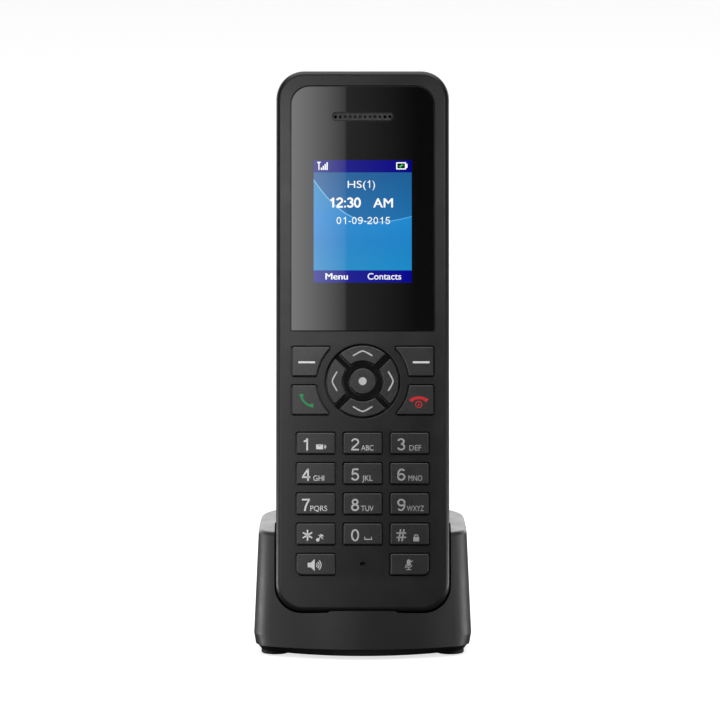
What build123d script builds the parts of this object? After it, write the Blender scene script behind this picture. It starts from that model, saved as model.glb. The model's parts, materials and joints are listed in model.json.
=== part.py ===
from build123d import *
import os
from math import cos, radians, sqrt, tan

# Cordless telephone handset standing in its charging cradle.
#
# World frame: +X to the right, +Y to the back, +Z up, origin on the desk under
# the middle of the cradle.
# Handset frame: x across, y from the front face into the depth, z from the
# bottom end to the top end. The handset frame leans back inside the world frame.

# ---------------------------------------------------------------- handset shell
HANDSET_WIDTH = 52.5
HANDSET_LENGTH = 165.3
HANDSET_DEPTH = 21.8
HANDSET_CORNER = 8.5
LEAN = 15.0
SEAT_HEIGHT = 14.0
PARTING = 9.0
WALL = 1.8
FRONT_WALL = 2.4
FRONT_EDGE_ROUND = 1.5
REAR_EDGE_ROUND = 6.0
SEAM_CHAMFER = 0.2
TONGUE_REACH = 1.2
TONGUE_INSET = 1.0
FIT_GAP = 0.1
TOLERANCE = 1e-6

# ------------------------------------------------------- window, lens, earpiece
LENS_WIDTH = 43.2
LENS_BOTTOM = 85.7
LENS_TOP = 160.35
LENS_TOP_CORNER = 5.5
LENS_BOTTOM_CORNER = 0.5
LENS_FRONT = 0.2
LENS_BACK = 1.4
LENS_RECESS = 1.5
LENS_GAP = 0.45
SCREEN_WIDTH = 29.8
SCREEN_BOTTOM = 100.3
SCREEN_TOP = 137.8
WINDOW_MARGIN = 0.5
PANEL_MARGIN = 2.2
HOLDER_WALL = 1.3
PANEL_FRONT = 2.6
PANEL_BACK = 4.6
EAR_HEIGHT = 151.2
EAR_SLOT = (18.8, 2.8)
EAR_VENT_INSET = 0.6
EAR_MESH_FRONT = 0.9
EAR_MESH_GAP = 0.4
EAR_HOLE_RADIUS = 0.5
EAR_HOLE_PITCH = 1.5
EAR_HOLE_COUNT = 12
EAR_SPEAKER_RADIUS = 6.5
EAR_SPEAKER_BACK = 5.0

# ------------------------------------------------------------------------- keys
KEY_PROUD = 0.45
KEY_GAP = 0.45
KEY_EDGE_ROUND = 0.3
KEY_CORNER = 0.4
KEY_FLANGE = 0.75
FLANGE_FRONT = 2.55
FLANGE_BACK = 3.15
NAV_CENTRE = 70.1
NAV_OUTER = 10.85
NAV_INNER = 6.2
NAV_CHANNEL = 1.95
NAV_SELECT_RADIUS = 3.95
NAV_CORNER = 0.35
NAV_WELL_DEPTH = 1.3
NAV_WELL_ROUND = 0.35
SIDE_KEY_MIDDLE = 70.3
SIDE_KEY_OUTER = 21.4
SIDE_KEY_ARC = 14.1
SIDE_KEY_HEIGHT = 8.85
SIDE_KEY_SPLIT = 2.9
DIGIT_WIDTH = 11.5
DIGIT_HEIGHT = 6.33
DIGIT_PITCH_X = 14.2
DIGIT_PITCH_Z = 9.22
DIGIT_TOP_ROW = 51.2
LAST_ROW_CORNER = 1.6

# -------------------------------------------------------------- handset insides
MAT_FRONT = 3.7
MAT_BACK = 4.5
MAT_SIZE = (43.6, 72.8)
MAT_BOTTOM = 10.4
PLUNGER_RADIUS = 1.2
PLUNGER_BACK = 4.8
DOME_RADIUS = 2.0
DOME_FRONT = 4.9
BOARD_FRONT = 5.3
BOARD_BACK = 6.3
BOARD_SIZE = (45.0, 134.0)
BOARD_BOTTOM = 11.0
BOARD_CHIPS = [(-10, 30, 9, 9), (8, 26, 6, 8), (-17, 100, 6, 5), (9, 99, 10, 5)]
CHIP_HEIGHT = 0.9
SHEET = 0.3
SHIELD_X = (-19.0, 4.0)
SHIELD_Z = (112.0, 140.0)
SHIELD_HEIGHT = 2.0
ANTENNA_DEPTH = 12.0
ANTENNA_HALF_WIDTH = 15.0
ANTENNA_Z = (147.0, 158.0)
ANTENNA_SLIT = (150.0, 152.0)
ANTENNA_LEG_Z = 143.2
MIC_HEIGHT = 14.5
MIC_HOLE = (1.7, 1.1)
MIC_RADIUS = 2.0
BOSS_RADIUS = 3.2
FRONT_BOSS_RADIUS = 2.2
SCREW_RADIUS = 1.1
SCREW_HEAD_RADIUS = 2.0
SCREW_HEAD_BACK = 17.5
SCREW_HEAD_HEIGHT = 1.6
SCREW_TIP = 3.6
SCREW_SPOTS = [(-21.0, 152.5), (21.0, 152.5), (-20.8, 7.6), (20.8, 7.6)]
JACK_RADIUS = 1.8
JACK_LENGTH = 14.0
JACK_DEPTH = 12.6
JACK_HEIGHT = 109.0
JACK_WALL = 1.3
SPEAKER_RADIUS = 9.5
SPEAKER_HEIGHT = 128.0
GRILLE_SLOT = (14.0, 1.4)
GRILLE_PITCH = 2.8
GRILLE_ROWS = 5

# ------------------------------------------------------- batteries, their cover
CELL_RADIUS = 5.25
CELL_LENGTH = 44.5
CELL_SPACING = 12.6
CELL_DEPTH = 14.2
CELL_EDGE_ROUND = 0.5
NUB_RADIUS = 1.9
NUB_LENGTH = 1.0
BAY_HALF_WIDTH = 13.2
BAY_FLOOR = 8.6
BAY_WALL = 1.2
BAY_BOTTOM = 40.0
BAY_TOP = 90.2
CONTACT_THICKNESS = 0.4
PLATE_HALF = 4.0
COVER_HALF_WIDTH = 19.0
COVER_BOTTOM = 32.0
COVER_TOP = 98.0
LEDGE_SIDE = 1.5
LEDGE_DROP = 1.4
LEDGE_RISE = 1.6
HOOK_ROOM = 0.4
HOOK_POCKET_RISE = 3.4
HOOK_REACH = 1.3
HOOK_ROOT = 0.4
HOOK_HEIGHT = 1.0
LATCH_HALF_WIDTH = 4.0
LATCH_REACH = 1.0
LATCH_ROOT = 0.2
LATCH_DROP = (2.0, 1.2)
LATCH_POCKET_HALF_WIDTH = 5.0
LATCH_POCKET_DROP = (2.6, 0.6)
THUMB_NOTCH_RADIUS = 6.0
THUMB_NOTCH_DEPTH = 1.2
GRIP_COUNT = 3
GRIP_DROP = 8.0
GRIP_PITCH = 2.2
GRIP_SLOT = (16.0, 0.9)
GRIP_DEPTH = 0.4
COVER_THICKNESS = 1.6
COVER_CORNER = 2.5
COVER_GAP = 0.2
LEDGE_THICKNESS = 1.4
HOOK_X = 10.0
HOOK_WIDTH = 6.0

# ---------------------------------------------------------------------- cradle
CRADLE_HEIGHT = 36.8
CRADLE_DEPTH = 70.0
CRADLE_HALF_BOTTOM = 33.1
CRADLE_HALF_TOP = 31.6
CRADLE_REAR_NARROWER = 1.2
CRADLE_SIDE_BULGE = 0.25
CRADLE_REAR_LEAN = 5.0
CRADLE_WALL = 2.2
CRADLE_EDGE_ROUND = 1.3
CRADLE_FOOT_INSET = 0.7
CRADLE_FOOT_RISE = 3.0
FRONT_BOW = 70.0
BASE_BOW = 48.0
REAR_BOW = 90.0
FRONT_CORNER = 8.0
REAR_CORNER = 17.0
COVER_SEAM = 3.2
PLATE_BOTTOM = 1.2
PLATE_INSET = 0.35
PLATE_BEVEL = 2.3
LIP_THICKNESS = 2.2
POCKET_GAP = 0.5
POCKET_CORNER = 8.8
POCKET_BACK_CORNER = 3.0
POCKET_FLOOR = 2.0
LIP_STEP_WIDTH = 21.5
LIP_STEP_HEIGHT = 0.5
LIP_STEP_RAMP = 1.0
REST_RIB_X = 18.0
REST_RIB_FRONT = 3.0
REST_RIB_SIZE = (1.6, 12.0, 0.4)
FOOT_RADIUS = 4.2
FOOT_SPOTS = {"front_left": (-26.5, 14.0), "front_right": (26.5, 14.0),
              "rear_left": (-22.5, 59.0), "rear_right": (22.5, 59.0)}
PLATE_SCREW_SPOTS = [(-23.0, 24.0), (23.0, 24.0), (-16.0, 63.5), (16.0, 63.5)]
PLATE_BOSS_RADIUS = 2.5
PLATE_SCREW_HEAD = 2.4
PLATE_SCREW_TIP = 6.4
CRADLE_BOARD = (24.0, 57.0, 0.8)
CRADLE_BOARD_FRONT = 9.0
CRADLE_BOARD_BOTTOM = 3.5
INLET_SIZE = (7.5, 5.6, 2.6)
INLET_GAP = 0.3

# ----------------------------------------------------------------- charge pins
PIN_X = 6.5
PIN_DEPTH = 12.0
PIN_RADIUS = 1.1
CONTACT_WINDOW = (2.5, 2.4)
CONTACT_PAD = (2.4, 2.3)
CONTACT_PAD_Z = (0.1, 0.6)
CONTACT_LEG_HALF_WIDTH = 1.5
CONTACT_LEG_FRONT = 1.9
CONTACT_LEG_Z = (0.3, 9.5)
PIN_FLANGE_RADIUS = 1.8
PIN_TOP = -0.12
PIN_FLANGE_TOP = -2.75
PIN_FLANGE_BOTTOM = -3.25
PIN_TAIL = -4.1
PIN_BORE_RADIUS = 2.1
PIN_BLOCK_TOP = -2.55
PIN_BLOCK_WALL = 1.2
SPRING_BOTTOM = -5.9
SPRING_RADIUS = 1.5
SPRING_WIRE = 0.15
SPRING_TURNS = 4

os.makedirs("parts", exist_ok=True)

front_y = -CRADLE_DEPTH / 2
sill_rise = (SEAT_HEIGHT - COVER_SEAM) * tan(radians(LEAN))
handset_y = front_y + sill_rise + LIP_THICKNESS / cos(radians(LEAN))
handset_place = Pos(0, handset_y, SEAT_HEIGHT) * Rot(X=-LEAN)
rear_inner = HANDSET_DEPTH - WALL
pocket_half = HANDSET_WIDTH / 2 + POCKET_GAP


def slab(outline, front, back):
    """Solid with a front-view outline, from one depth to another."""
    return extrude(Plane.XZ.offset(-front) * outline, amount=front - back)


def block(x_range, y_range, z_range):
    """Box between two limits on each axis."""
    size = [high - low for low, high in (x_range, y_range, z_range)]
    middle = [(low + high) / 2 for low, high in (x_range, y_range, z_range)]
    return Pos(*middle) * Box(*size)


def disc(x, z, radius, front, back):
    """Round slab whose axis runs through the depth of the handset."""
    return slab(Pos(x, z) * Circle(radius), front, back)


def post(x, y, radius, bottom, top):
    """Upright cylinder."""
    return Pos(x, y, bottom) * Cylinder(radius, top - bottom, align=(Align.CENTER, Align.CENTER, Align.MIN))


def both(shape):
    """The shape and its mirror image across the middle plane."""
    return shape + mirror(shape, about=Plane.YZ)


def save(name, shape, place=Pos(0, 0, 0)):
    """Write one sub-part, moved to its place in the world frame."""
    placed = place * shape
    placed.label = name
    export_step(placed, f"parts/{name}.step")


# ------------------------------------------------------------------- key layout
def side_key(side, row):
    """Soft, call or end key: a rounded block hollowed by the ring round the pad."""
    middle_z = SIDE_KEY_MIDDLE + row * (SIDE_KEY_SPLIT + SIDE_KEY_HEIGHT) / 2
    blank = Pos(side * SIDE_KEY_OUTER / 2, middle_z) * Rectangle(SIDE_KEY_OUTER, SIDE_KEY_HEIGHT)
    face = blank - Pos(0, NAV_CENTRE) * Circle(SIDE_KEY_ARC)
    return fillet(face.vertices(), KEY_CORNER)


def nav_keys():
    """Four curved arrow keys round the middle button."""
    ring = Circle(NAV_OUTER) - Circle(NAV_INNER)
    for turn in (45, 135):
        ring -= Rot(Z=turn) * Rectangle(3 * NAV_OUTER, NAV_CHANNEL)
    faces = ring.faces()
    picks = {"nav_up": faces.sort_by(Axis.Y)[-1], "nav_down": faces.sort_by(Axis.Y)[0],
             "nav_left": faces.sort_by(Axis.X)[0], "nav_right": faces.sort_by(Axis.X)[-1]}
    keys = {}
    for name, face in picks.items():
        sector = Sketch() + face
        keys[name] = Pos(0, NAV_CENTRE) * fillet(sector.vertices(), NAV_CORNER)
    keys["nav_select"] = Pos(0, NAV_CENTRE) * Circle(NAV_SELECT_RADIUS)
    return keys


def digit_key(column, row):
    """One key of the number pad; the outer lower corners of the last row are rounder."""
    centre = Pos(column * DIGIT_PITCH_X, DIGIT_TOP_ROW - row * DIGIT_PITCH_Z)
    face = Rectangle(DIGIT_WIDTH, DIGIT_HEIGHT)
    if row < 4:
        return centre * fillet(face.vertices(), KEY_CORNER)
    by_side = face.vertices().sort_by(Axis.X, reverse=column > 0)
    outer = by_side[:2].sort_by(Axis.Y)
    inner = by_side[2:]
    face = fillet([*inner, outer[1]], KEY_CORNER)
    outer_low = face.vertices().filter_by(lambda v: v.X * column == DIGIT_WIDTH / 2 and v.Y < 0)
    return centre * fillet(outer_low.sort_by(Axis.Y)[0], LAST_ROW_CORNER)


def key_layout():
    """Front-view outline of every key, by name."""
    keys = {"soft_key_left": side_key(-1, 1), "soft_key_right": side_key(1, 1),
            "call_key": side_key(-1, -1), "end_key": side_key(1, -1)}
    keys.update(nav_keys())
    pad = [["key_1", "key_2", "key_3"], ["key_4", "key_5", "key_6"], ["key_7", "key_8", "key_9"],
           ["key_star", "key_0", "key_hash"], ["speaker_key", None, "mute_key"]]
    for row, names in enumerate(pad):
        for column, name in enumerate(names):
            if name:
                keys[name] = digit_key(column - 1, row)
    return keys


keys = key_layout()


def make_key(outline):
    """Key cap with a soft front edge and a retaining flange behind the front wall."""
    cap = slab(outline, -KEY_PROUD, FLANGE_BACK)
    cap = fillet(cap.edges().group_by(Axis.Y)[0], KEY_EDGE_ROUND)
    return cap + slab(offset(outline, KEY_FLANGE), FLANGE_FRONT, FLANGE_BACK)


# ---------------------------------------------------------------- handset shell
def body_outline(inset=0.0):
    """Rounded front-view outline of the handset, drawn in by inset."""
    width = HANDSET_WIDTH - 2 * inset
    length = HANDSET_LENGTH - 2 * inset
    return Pos(0, HANDSET_LENGTH / 2) * RectangleRounded(width, length, HANDSET_CORNER - inset)


def lens_outline(grow=0.0):
    """Outline of the glossy window: round upper corners, nearly sharp lower ones."""
    height = LENS_TOP - LENS_BOTTOM + 2 * grow
    face = Rectangle(LENS_WIDTH + 2 * grow, height)
    face = fillet(face.vertices().sort_by(Axis.Y)[2:], LENS_TOP_CORNER + grow)
    low = face.vertices().sort_by(Axis.Y)[:2]
    face = fillet(low, LENS_BOTTOM_CORNER)
    return Pos(0, (LENS_TOP + LENS_BOTTOM) / 2) * face


def ear_slot(inset=0.0):
    """Earpiece slot in front view, drawn in by inset."""
    width, height = EAR_SLOT
    return Pos(0, EAR_HEIGHT) * SlotOverall(width - 2 * inset, height - 2 * inset)


def screen_outline(margin):
    """Rectangle round the lit part of the display."""
    middle = Pos(0, (SCREEN_TOP + SCREEN_BOTTOM) / 2)
    return middle * Rectangle(SCREEN_WIDTH + 2 * margin, SCREEN_TOP - SCREEN_BOTTOM + 2 * margin)


def make_front_housing():
    """Front shell with the window recess, the key holes and the screw bosses."""
    shell = slab(body_outline(), 0, PARTING)
    shell = fillet(shell.edges().group_by(Axis.Y)[0], FRONT_EDGE_ROUND)
    shell = chamfer(shell.edges().group_by(Axis.Y)[-1], SEAM_CHAMFER)
    shell -= slab(body_outline(WALL), FRONT_WALL, PARTING)
    tongue = body_outline(TONGUE_INSET) - body_outline(WALL)
    shell += slab(tongue, PARTING - 0.5, PARTING + TONGUE_REACH)
    for x, z in SCREW_SPOTS:
        shell += disc(x, z, FRONT_BOSS_RADIUS, FRONT_WALL - 0.5, PARTING)
        shell -= disc(x, z, SCREW_RADIUS + FIT_GAP, FRONT_WALL + 0.6, PARTING)
    shell -= slab(lens_outline(LENS_GAP), 0, LENS_RECESS)
    shell -= slab(screen_outline(WINDOW_MARGIN), LENS_RECESS, FRONT_WALL)
    shell -= slab(ear_slot(EAR_VENT_INSET), LENS_RECESS, FRONT_WALL)
    shell -= slab(Pos(0, MIC_HEIGHT) * SlotOverall(*MIC_HOLE), 0, FRONT_WALL)
    well_radius = NAV_OUTER + KEY_GAP
    shell -= disc(0, NAV_CENTRE, well_radius, 0, NAV_WELL_DEPTH)
    round_edges = shell.edges().filter_by(GeomType.CIRCLE)
    rim = round_edges.filter_by(lambda edge: abs(edge.radius - well_radius) < TOLERANCE)
    shell = fillet(rim.group_by(Axis.Y)[0], NAV_WELL_ROUND)
    for outline in keys.values():
        shell -= slab(offset(outline, KEY_GAP), 0, FRONT_WALL)
    return shell


def make_rear_housing():
    """Rear shell with the battery bay, the cover recess, grille and jack hole."""
    shell = slab(body_outline(), PARTING, HANDSET_DEPTH)
    shell = fillet(shell.edges().group_by(Axis.Y)[-1], REAR_EDGE_ROUND)
    shell = chamfer(shell.edges().group_by(Axis.Y)[0], SEAM_CHAMFER)
    inside = slab(body_outline(WALL), PARTING, rear_inner)
    inside = fillet(inside.edges().group_by(Axis.Y)[-1], REAR_EDGE_ROUND - WALL)
    shell -= inside
    shell -= slab(body_outline(TONGUE_INSET - FIT_GAP), PARTING, PARTING + TONGUE_REACH + FIT_GAP)
    boss_room = slab(body_outline(), PARTING, rear_inner + WALL / 4)
    for x, z in SCREW_SPOTS:
        shell += disc(x, z, BOSS_RADIUS, PARTING + 0.2, HANDSET_DEPTH) & boss_room
    ledge_front = rear_inner - LEDGE_THICKNESS
    ledge_half = COVER_HALF_WIDTH + LEDGE_SIDE
    shell += block((-ledge_half, ledge_half), (ledge_front, rear_inner + 0.2),
                   (COVER_BOTTOM - LEDGE_DROP, COVER_TOP + LEDGE_RISE))
    outer_half = BAY_HALF_WIDTH + BAY_WALL
    shell += block((-outer_half, outer_half), (BAY_FLOOR - BAY_WALL, rear_inner),
                   (BAY_BOTTOM - BAY_WALL, BAY_TOP + BAY_WALL))
    shell -= block((-BAY_HALF_WIDTH, BAY_HALF_WIDTH), (BAY_FLOOR, HANDSET_DEPTH), (BAY_BOTTOM, BAY_TOP))
    recess = Rectangle(2 * (COVER_HALF_WIDTH + COVER_GAP), COVER_TOP - COVER_BOTTOM + 2 * COVER_GAP)
    recess = fillet(recess.vertices().sort_by(Axis.Y)[2:], COVER_CORNER + COVER_GAP)
    shell -= slab(Pos(0, (COVER_TOP + COVER_BOTTOM) / 2) * recess, rear_inner, HANDSET_DEPTH)
    hook_half = HOOK_WIDTH / 2 + HOOK_ROOM
    shell -= both(block((HOOK_X - hook_half, HOOK_X + hook_half), (ledge_front - 1, rear_inner + 0.05),
                        (COVER_BOTTOM - LEDGE_DROP, COVER_BOTTOM + HOOK_POCKET_RISE)))
    shell -= block((-LATCH_POCKET_HALF_WIDTH, LATCH_POCKET_HALF_WIDTH), (ledge_front - 1, rear_inner + 0.1),
                   (COVER_TOP - LATCH_POCKET_DROP[0], COVER_TOP - LATCH_POCKET_DROP[1]))
    shell -= disc(0, COVER_TOP + COVER_GAP, THUMB_NOTCH_RADIUS, HANDSET_DEPTH - THUMB_NOTCH_DEPTH,
                  HANDSET_DEPTH)
    for row in range(GRILLE_ROWS):
        z = SPEAKER_HEIGHT + (row - (GRILLE_ROWS - 1) / 2) * GRILLE_PITCH
        shell -= slab(Pos(0, z) * SlotOverall(*GRILLE_SLOT), rear_inner, HANDSET_DEPTH)
    for x, z in SCREW_SPOTS:
        shell -= disc(x, z, SCREW_HEAD_RADIUS + 0.2, SCREW_HEAD_BACK - SCREW_HEAD_HEIGHT, HANDSET_DEPTH)
        shell -= disc(x, z, SCREW_RADIUS + FIT_GAP, PARTING, SCREW_HEAD_BACK)
    jack_mouth = Pos(HANDSET_WIDTH / 2, JACK_DEPTH, JACK_HEIGHT) * Rot(Y=90)
    shell -= jack_mouth * Cylinder(JACK_RADIUS, 3 * WALL)
    for side in (-1, 1):
        x = side * PIN_X
        half_x, half_y = CONTACT_WINDOW
        shell -= block((x - half_x, x + half_x), (PIN_DEPTH - half_y, PIN_DEPTH + half_y), (0, WALL))
    return shell


def make_battery_cover():
    """Battery cover: a flat plate with a round lower edge, two hooks and a snap rib."""
    hinge_z = COVER_BOTTOM + COVER_THICKNESS / 2
    hinge_y = HANDSET_DEPTH - COVER_THICKNESS / 2
    height = COVER_TOP - hinge_z
    face = Pos(0, hinge_z + height / 2) * Rectangle(2 * COVER_HALF_WIDTH, height)
    face = fillet(face.vertices().sort_by(Axis.Y)[2:], COVER_CORNER)
    cover = slab(face, HANDSET_DEPTH - COVER_THICKNESS, HANDSET_DEPTH)
    edge = Pos(0, hinge_y, hinge_z) * Rot(Y=90) * Cylinder(COVER_THICKNESS / 2, 2 * COVER_HALF_WIDTH)
    cover += edge
    inner = HANDSET_DEPTH - COVER_THICKNESS
    hook_sides = (HOOK_X - HOOK_WIDTH / 2, HOOK_X + HOOK_WIDTH / 2)
    neck = block(hook_sides, (inner - HOOK_REACH, inner + HOOK_ROOT), (hinge_z, hinge_z + HOOK_HEIGHT))
    toe = block(hook_sides, (inner - HOOK_REACH, inner - HOOK_ROOT),
                (COVER_BOTTOM - HOOK_HEIGHT, hinge_z + HOOK_HEIGHT))
    cover += both(neck + toe)
    cover += block((-LATCH_HALF_WIDTH, LATCH_HALF_WIDTH), (inner - LATCH_REACH, inner + LATCH_ROOT),
                   (COVER_TOP - LATCH_DROP[0], COVER_TOP - LATCH_DROP[1]))
    for groove in range(GRIP_COUNT):
        z = COVER_TOP - GRIP_DROP - groove * GRIP_PITCH
        cover -= slab(Pos(0, z) * SlotOverall(*GRIP_SLOT), HANDSET_DEPTH - GRIP_DEPTH, HANDSET_DEPTH)
    return cover


# -------------------------------------------------------------- handset insides
def make_earpiece_mesh():
    """Perforated strip in the earpiece slot."""
    strip = slab(ear_slot(EAR_MESH_GAP), EAR_MESH_FRONT, LENS_RECESS)
    for index in range(EAR_HOLE_COUNT):
        x = (index - (EAR_HOLE_COUNT - 1) / 2) * EAR_HOLE_PITCH
        strip -= disc(x, EAR_HEIGHT, EAR_HOLE_RADIUS, EAR_MESH_FRONT, LENS_RECESS)
    return strip


def make_keypad_mat():
    """Silicone mat with one plunger behind each key and a hole for the microphone."""
    outline = Pos(0, MAT_BOTTOM + MAT_SIZE[1] / 2) * RectangleRounded(*MAT_SIZE, 3)
    mat = slab(outline, MAT_FRONT, MAT_BACK)
    for key in keys.values():
        middle = key.center()
        mat += disc(middle.X, middle.Y, PLUNGER_RADIUS, MAT_BACK - 0.2, PLUNGER_BACK)
    return mat - disc(0, MIC_HEIGHT, MIC_RADIUS + 0.6, MAT_FRONT, MAT_BACK)


def make_key_domes():
    """Snap domes on the board, one behind each key."""
    domes = []
    for key in keys.values():
        middle = key.center()
        dome = disc(middle.X, middle.Y, DOME_RADIUS, DOME_FRONT, BOARD_FRONT)
        domes.append(fillet(dome.edges().group_by(Axis.Y)[0], 0.3))
    return Compound(domes)


def make_main_board():
    """Circuit board with its larger chips on the rear face."""
    outline = Pos(0, BOARD_BOTTOM + BOARD_SIZE[1] / 2) * RectangleRounded(*BOARD_SIZE, 2)
    board = slab(outline, BOARD_FRONT, BOARD_BACK)
    for x, z, width, height in BOARD_CHIPS:
        board += block((x - width / 2, x + width / 2), (BOARD_BACK - FIT_GAP, BOARD_BACK + CHIP_HEIGHT),
                       (z - height / 2, z + height / 2))
    return board


def make_rf_shield():
    """Sheet-metal can over the radio section."""
    can = block(SHIELD_X, (BOARD_BACK, BOARD_BACK + SHIELD_HEIGHT), SHIELD_Z)
    can = fillet(can.edges().group_by(Axis.Y)[-1], SHEET + FIT_GAP)
    room_x = (SHIELD_X[0] + SHEET, SHIELD_X[1] - SHEET)
    room_z = (SHIELD_Z[0] + SHEET, SHIELD_Z[1] - SHEET)
    return can - block(room_x, (BOARD_BACK, BOARD_BACK + SHIELD_HEIGHT - SHEET), room_z)


def make_antenna():
    """Folded sheet-metal antenna at the top of the handset."""
    sheet = (ANTENNA_DEPTH, ANTENNA_DEPTH + SHEET)
    plate = block((-ANTENNA_HALF_WIDTH, ANTENNA_HALF_WIDTH), sheet, ANTENNA_Z)
    plate -= block((-ANTENNA_HALF_WIDTH / 2, ANTENNA_HALF_WIDTH), sheet, ANTENNA_SLIT)
    leg_x = (1 - ANTENNA_HALF_WIDTH, 3 - ANTENNA_HALF_WIDTH)
    leg = block(leg_x, (BOARD_BACK, sheet[1]), (ANTENNA_LEG_Z, ANTENNA_LEG_Z + SHEET))
    link = block(leg_x, sheet, (ANTENNA_LEG_Z, ANTENNA_Z[0] + SHEET))
    return plate + link + leg


def make_loudspeaker():
    """Hands-free loudspeaker behind the grille: basket and stepped magnet."""
    speaker = disc(0, SPEAKER_HEIGHT, SPEAKER_RADIUS, 17.6, rear_inner - 0.2)
    speaker += disc(0, SPEAKER_HEIGHT, SPEAKER_RADIUS - 3, 15.4, 17.8)
    return fillet(speaker.edges().group_by(Axis.Y)[0], 0.4)


def make_earpiece_speaker():
    """Round receiver capsule behind the earpiece slot."""
    capsule = disc(0, EAR_HEIGHT, EAR_SPEAKER_RADIUS, FRONT_WALL, EAR_SPEAKER_BACK)
    return fillet(capsule.edges().group_by(Axis.Y)[-1], 0.5)


def make_microphone():
    """Round microphone capsule behind its hole."""
    capsule = disc(0, MIC_HEIGHT, MIC_RADIUS, FRONT_WALL, BOARD_FRONT - 0.1)
    return fillet(capsule.edges().group_by(Axis.Y)[-1], 0.2)


def make_headset_jack():
    """Headset socket: a block with a blind bore that opens in the side of the handset."""
    inner_face = HANDSET_WIDTH / 2 - WALL - 0.15
    floor = HANDSET_WIDTH / 2 - JACK_LENGTH
    half = JACK_RADIUS + JACK_WALL
    body = block((floor - JACK_WALL, inner_face), (BOARD_BACK, JACK_DEPTH + half),
                 (JACK_HEIGHT - half, JACK_HEIGHT + half))
    bore = Pos((floor + inner_face) / 2, JACK_DEPTH, JACK_HEIGHT) * Rot(Y=90)
    return body - bore * Cylinder(JACK_RADIUS, inner_face - floor)


def make_cell(side):
    """Rechargeable cell lying along the handset; the two cells point opposite ways."""
    bottom = BAY_TOP - 0.7 - CELL_LENGTH if side < 0 else BAY_BOTTOM + 0.7
    can = post(0, 0, CELL_RADIUS, 0, CELL_LENGTH - NUB_LENGTH)
    can = fillet(can.edges().filter_by(GeomType.CIRCLE), CELL_EDGE_ROUND)
    nub = post(0, 0, NUB_RADIUS, 0, NUB_LENGTH + CELL_EDGE_ROUND)
    x = side * CELL_SPACING / 2
    if side < 0:
        cell = can + Pos(0, 0, CELL_LENGTH - NUB_LENGTH - CELL_EDGE_ROUND) * nub
    else:
        cell = Pos(0, 0, NUB_LENGTH) * can + nub
    return Pos(x, CELL_DEPTH, bottom) * cell


def coil(radius, wire, pitch, height, lefthand=False):
    """Coil spring made of a round wire, standing on z = 0."""
    path = Helix(pitch, height, radius, lefthand=lefthand)
    start = path @ 0
    section = Plane(origin=start, z_dir=path % 0) * Circle(wire)
    return Pos(0, 0, wire) * sweep(section, path)


def make_battery_springs():
    """Coil contacts at the flat end of each cell."""
    gap = BAY_TOP - BAY_BOTTOM - 0.7 - CELL_LENGTH - CONTACT_THICKNESS
    one = coil(2.6, 0.25, gap / 4, gap - 0.7)
    low = Pos(-CELL_SPACING / 2, CELL_DEPTH, BAY_BOTTOM + CONTACT_THICKNESS + 0.1) * one
    high = Pos(CELL_SPACING / 2, CELL_DEPTH, BAY_TOP - CONTACT_THICKNESS - 0.1) * Rot(X=180) * one
    return Compound([low, high])


def make_battery_plates():
    """Sheet-metal contacts at both ends of each cell."""
    plates = []
    for side in (-1, 1):
        x = side * CELL_SPACING / 2
        for low in (BAY_BOTTOM, BAY_TOP - CONTACT_THICKNESS):
            plates.append(block((x - PLATE_HALF, x + PLATE_HALF),
                                (CELL_DEPTH - PLATE_HALF, CELL_DEPTH + PLATE_HALF),
                                (low, low + CONTACT_THICKNESS)))
    return Compound(plates)


def make_handset_screws():
    """Four sunk screws that hold the shells together."""
    screws = []
    for x, z in SCREW_SPOTS:
        head_front = SCREW_HEAD_BACK - SCREW_HEAD_HEIGHT
        screw = disc(x, z, SCREW_RADIUS, SCREW_TIP, head_front + 0.2)
        screw += disc(x, z, SCREW_HEAD_RADIUS, head_front, SCREW_HEAD_BACK)
        for size in ((2.4, 0.6), (0.6, 2.4)):
            screw -= slab(Pos(x, z) * Rectangle(*size), SCREW_HEAD_BACK - 0.9, SCREW_HEAD_BACK)
        screws.append(screw)
    return Compound(screws)


def make_charge_contacts():
    """Charging contacts in the bottom end of the handset."""
    contacts = []
    for side in (-1, 1):
        x = side * PIN_X
        half_x, half_y = CONTACT_PAD
        pad = block((x - half_x, x + half_x), (PIN_DEPTH - half_y, PIN_DEPTH + half_y), CONTACT_PAD_Z)
        leg = block((x - CONTACT_LEG_HALF_WIDTH, x + CONTACT_LEG_HALF_WIDTH),
                    (PIN_DEPTH + CONTACT_LEG_FRONT, PIN_DEPTH + half_y), CONTACT_LEG_Z)
        contacts.append(pad + leg)
    return Compound(contacts)


# ---------------------------------------------------------------------- cradle
def cradle_outline(height, half_width, front, rear, bow, corner=FRONT_CORNER, inset=0.0):
    """Plan outline of the cradle: bowed front, slightly bulged sides, bowed rear."""
    half = half_width - inset
    rear_half = half - CRADLE_REAR_NARROWER
    front = front + inset
    rear = rear - inset
    front_corner_y = front + bow - sqrt(bow**2 - half**2)
    rear_corner_y = rear - REAR_BOW + sqrt(REAR_BOW**2 - rear_half**2)
    side_middle = ((half + rear_half) / 2 + CRADLE_SIDE_BULGE, (front_corner_y + rear_corner_y) / 2)
    edges = [
        ThreePointArc((-half, front_corner_y), (0, front), (half, front_corner_y)),
        ThreePointArc((half, front_corner_y), side_middle, (rear_half, rear_corner_y)),
        ThreePointArc((rear_half, rear_corner_y), (0, rear), (-rear_half, rear_corner_y)),
        ThreePointArc((-rear_half, rear_corner_y), (-side_middle[0], side_middle[1]),
                      (-half, front_corner_y)),
    ]
    face = make_face(edges)
    corners = face.vertices().sort_by(Axis.Y)
    face = fillet(corners[:2], corner - inset)
    rear_corners = face.vertices().filter_by(lambda v: v.Y > (front + rear) / 2)
    face = fillet(rear_corners, REAR_CORNER - inset)
    return Pos(0, 0, height) * face


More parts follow.
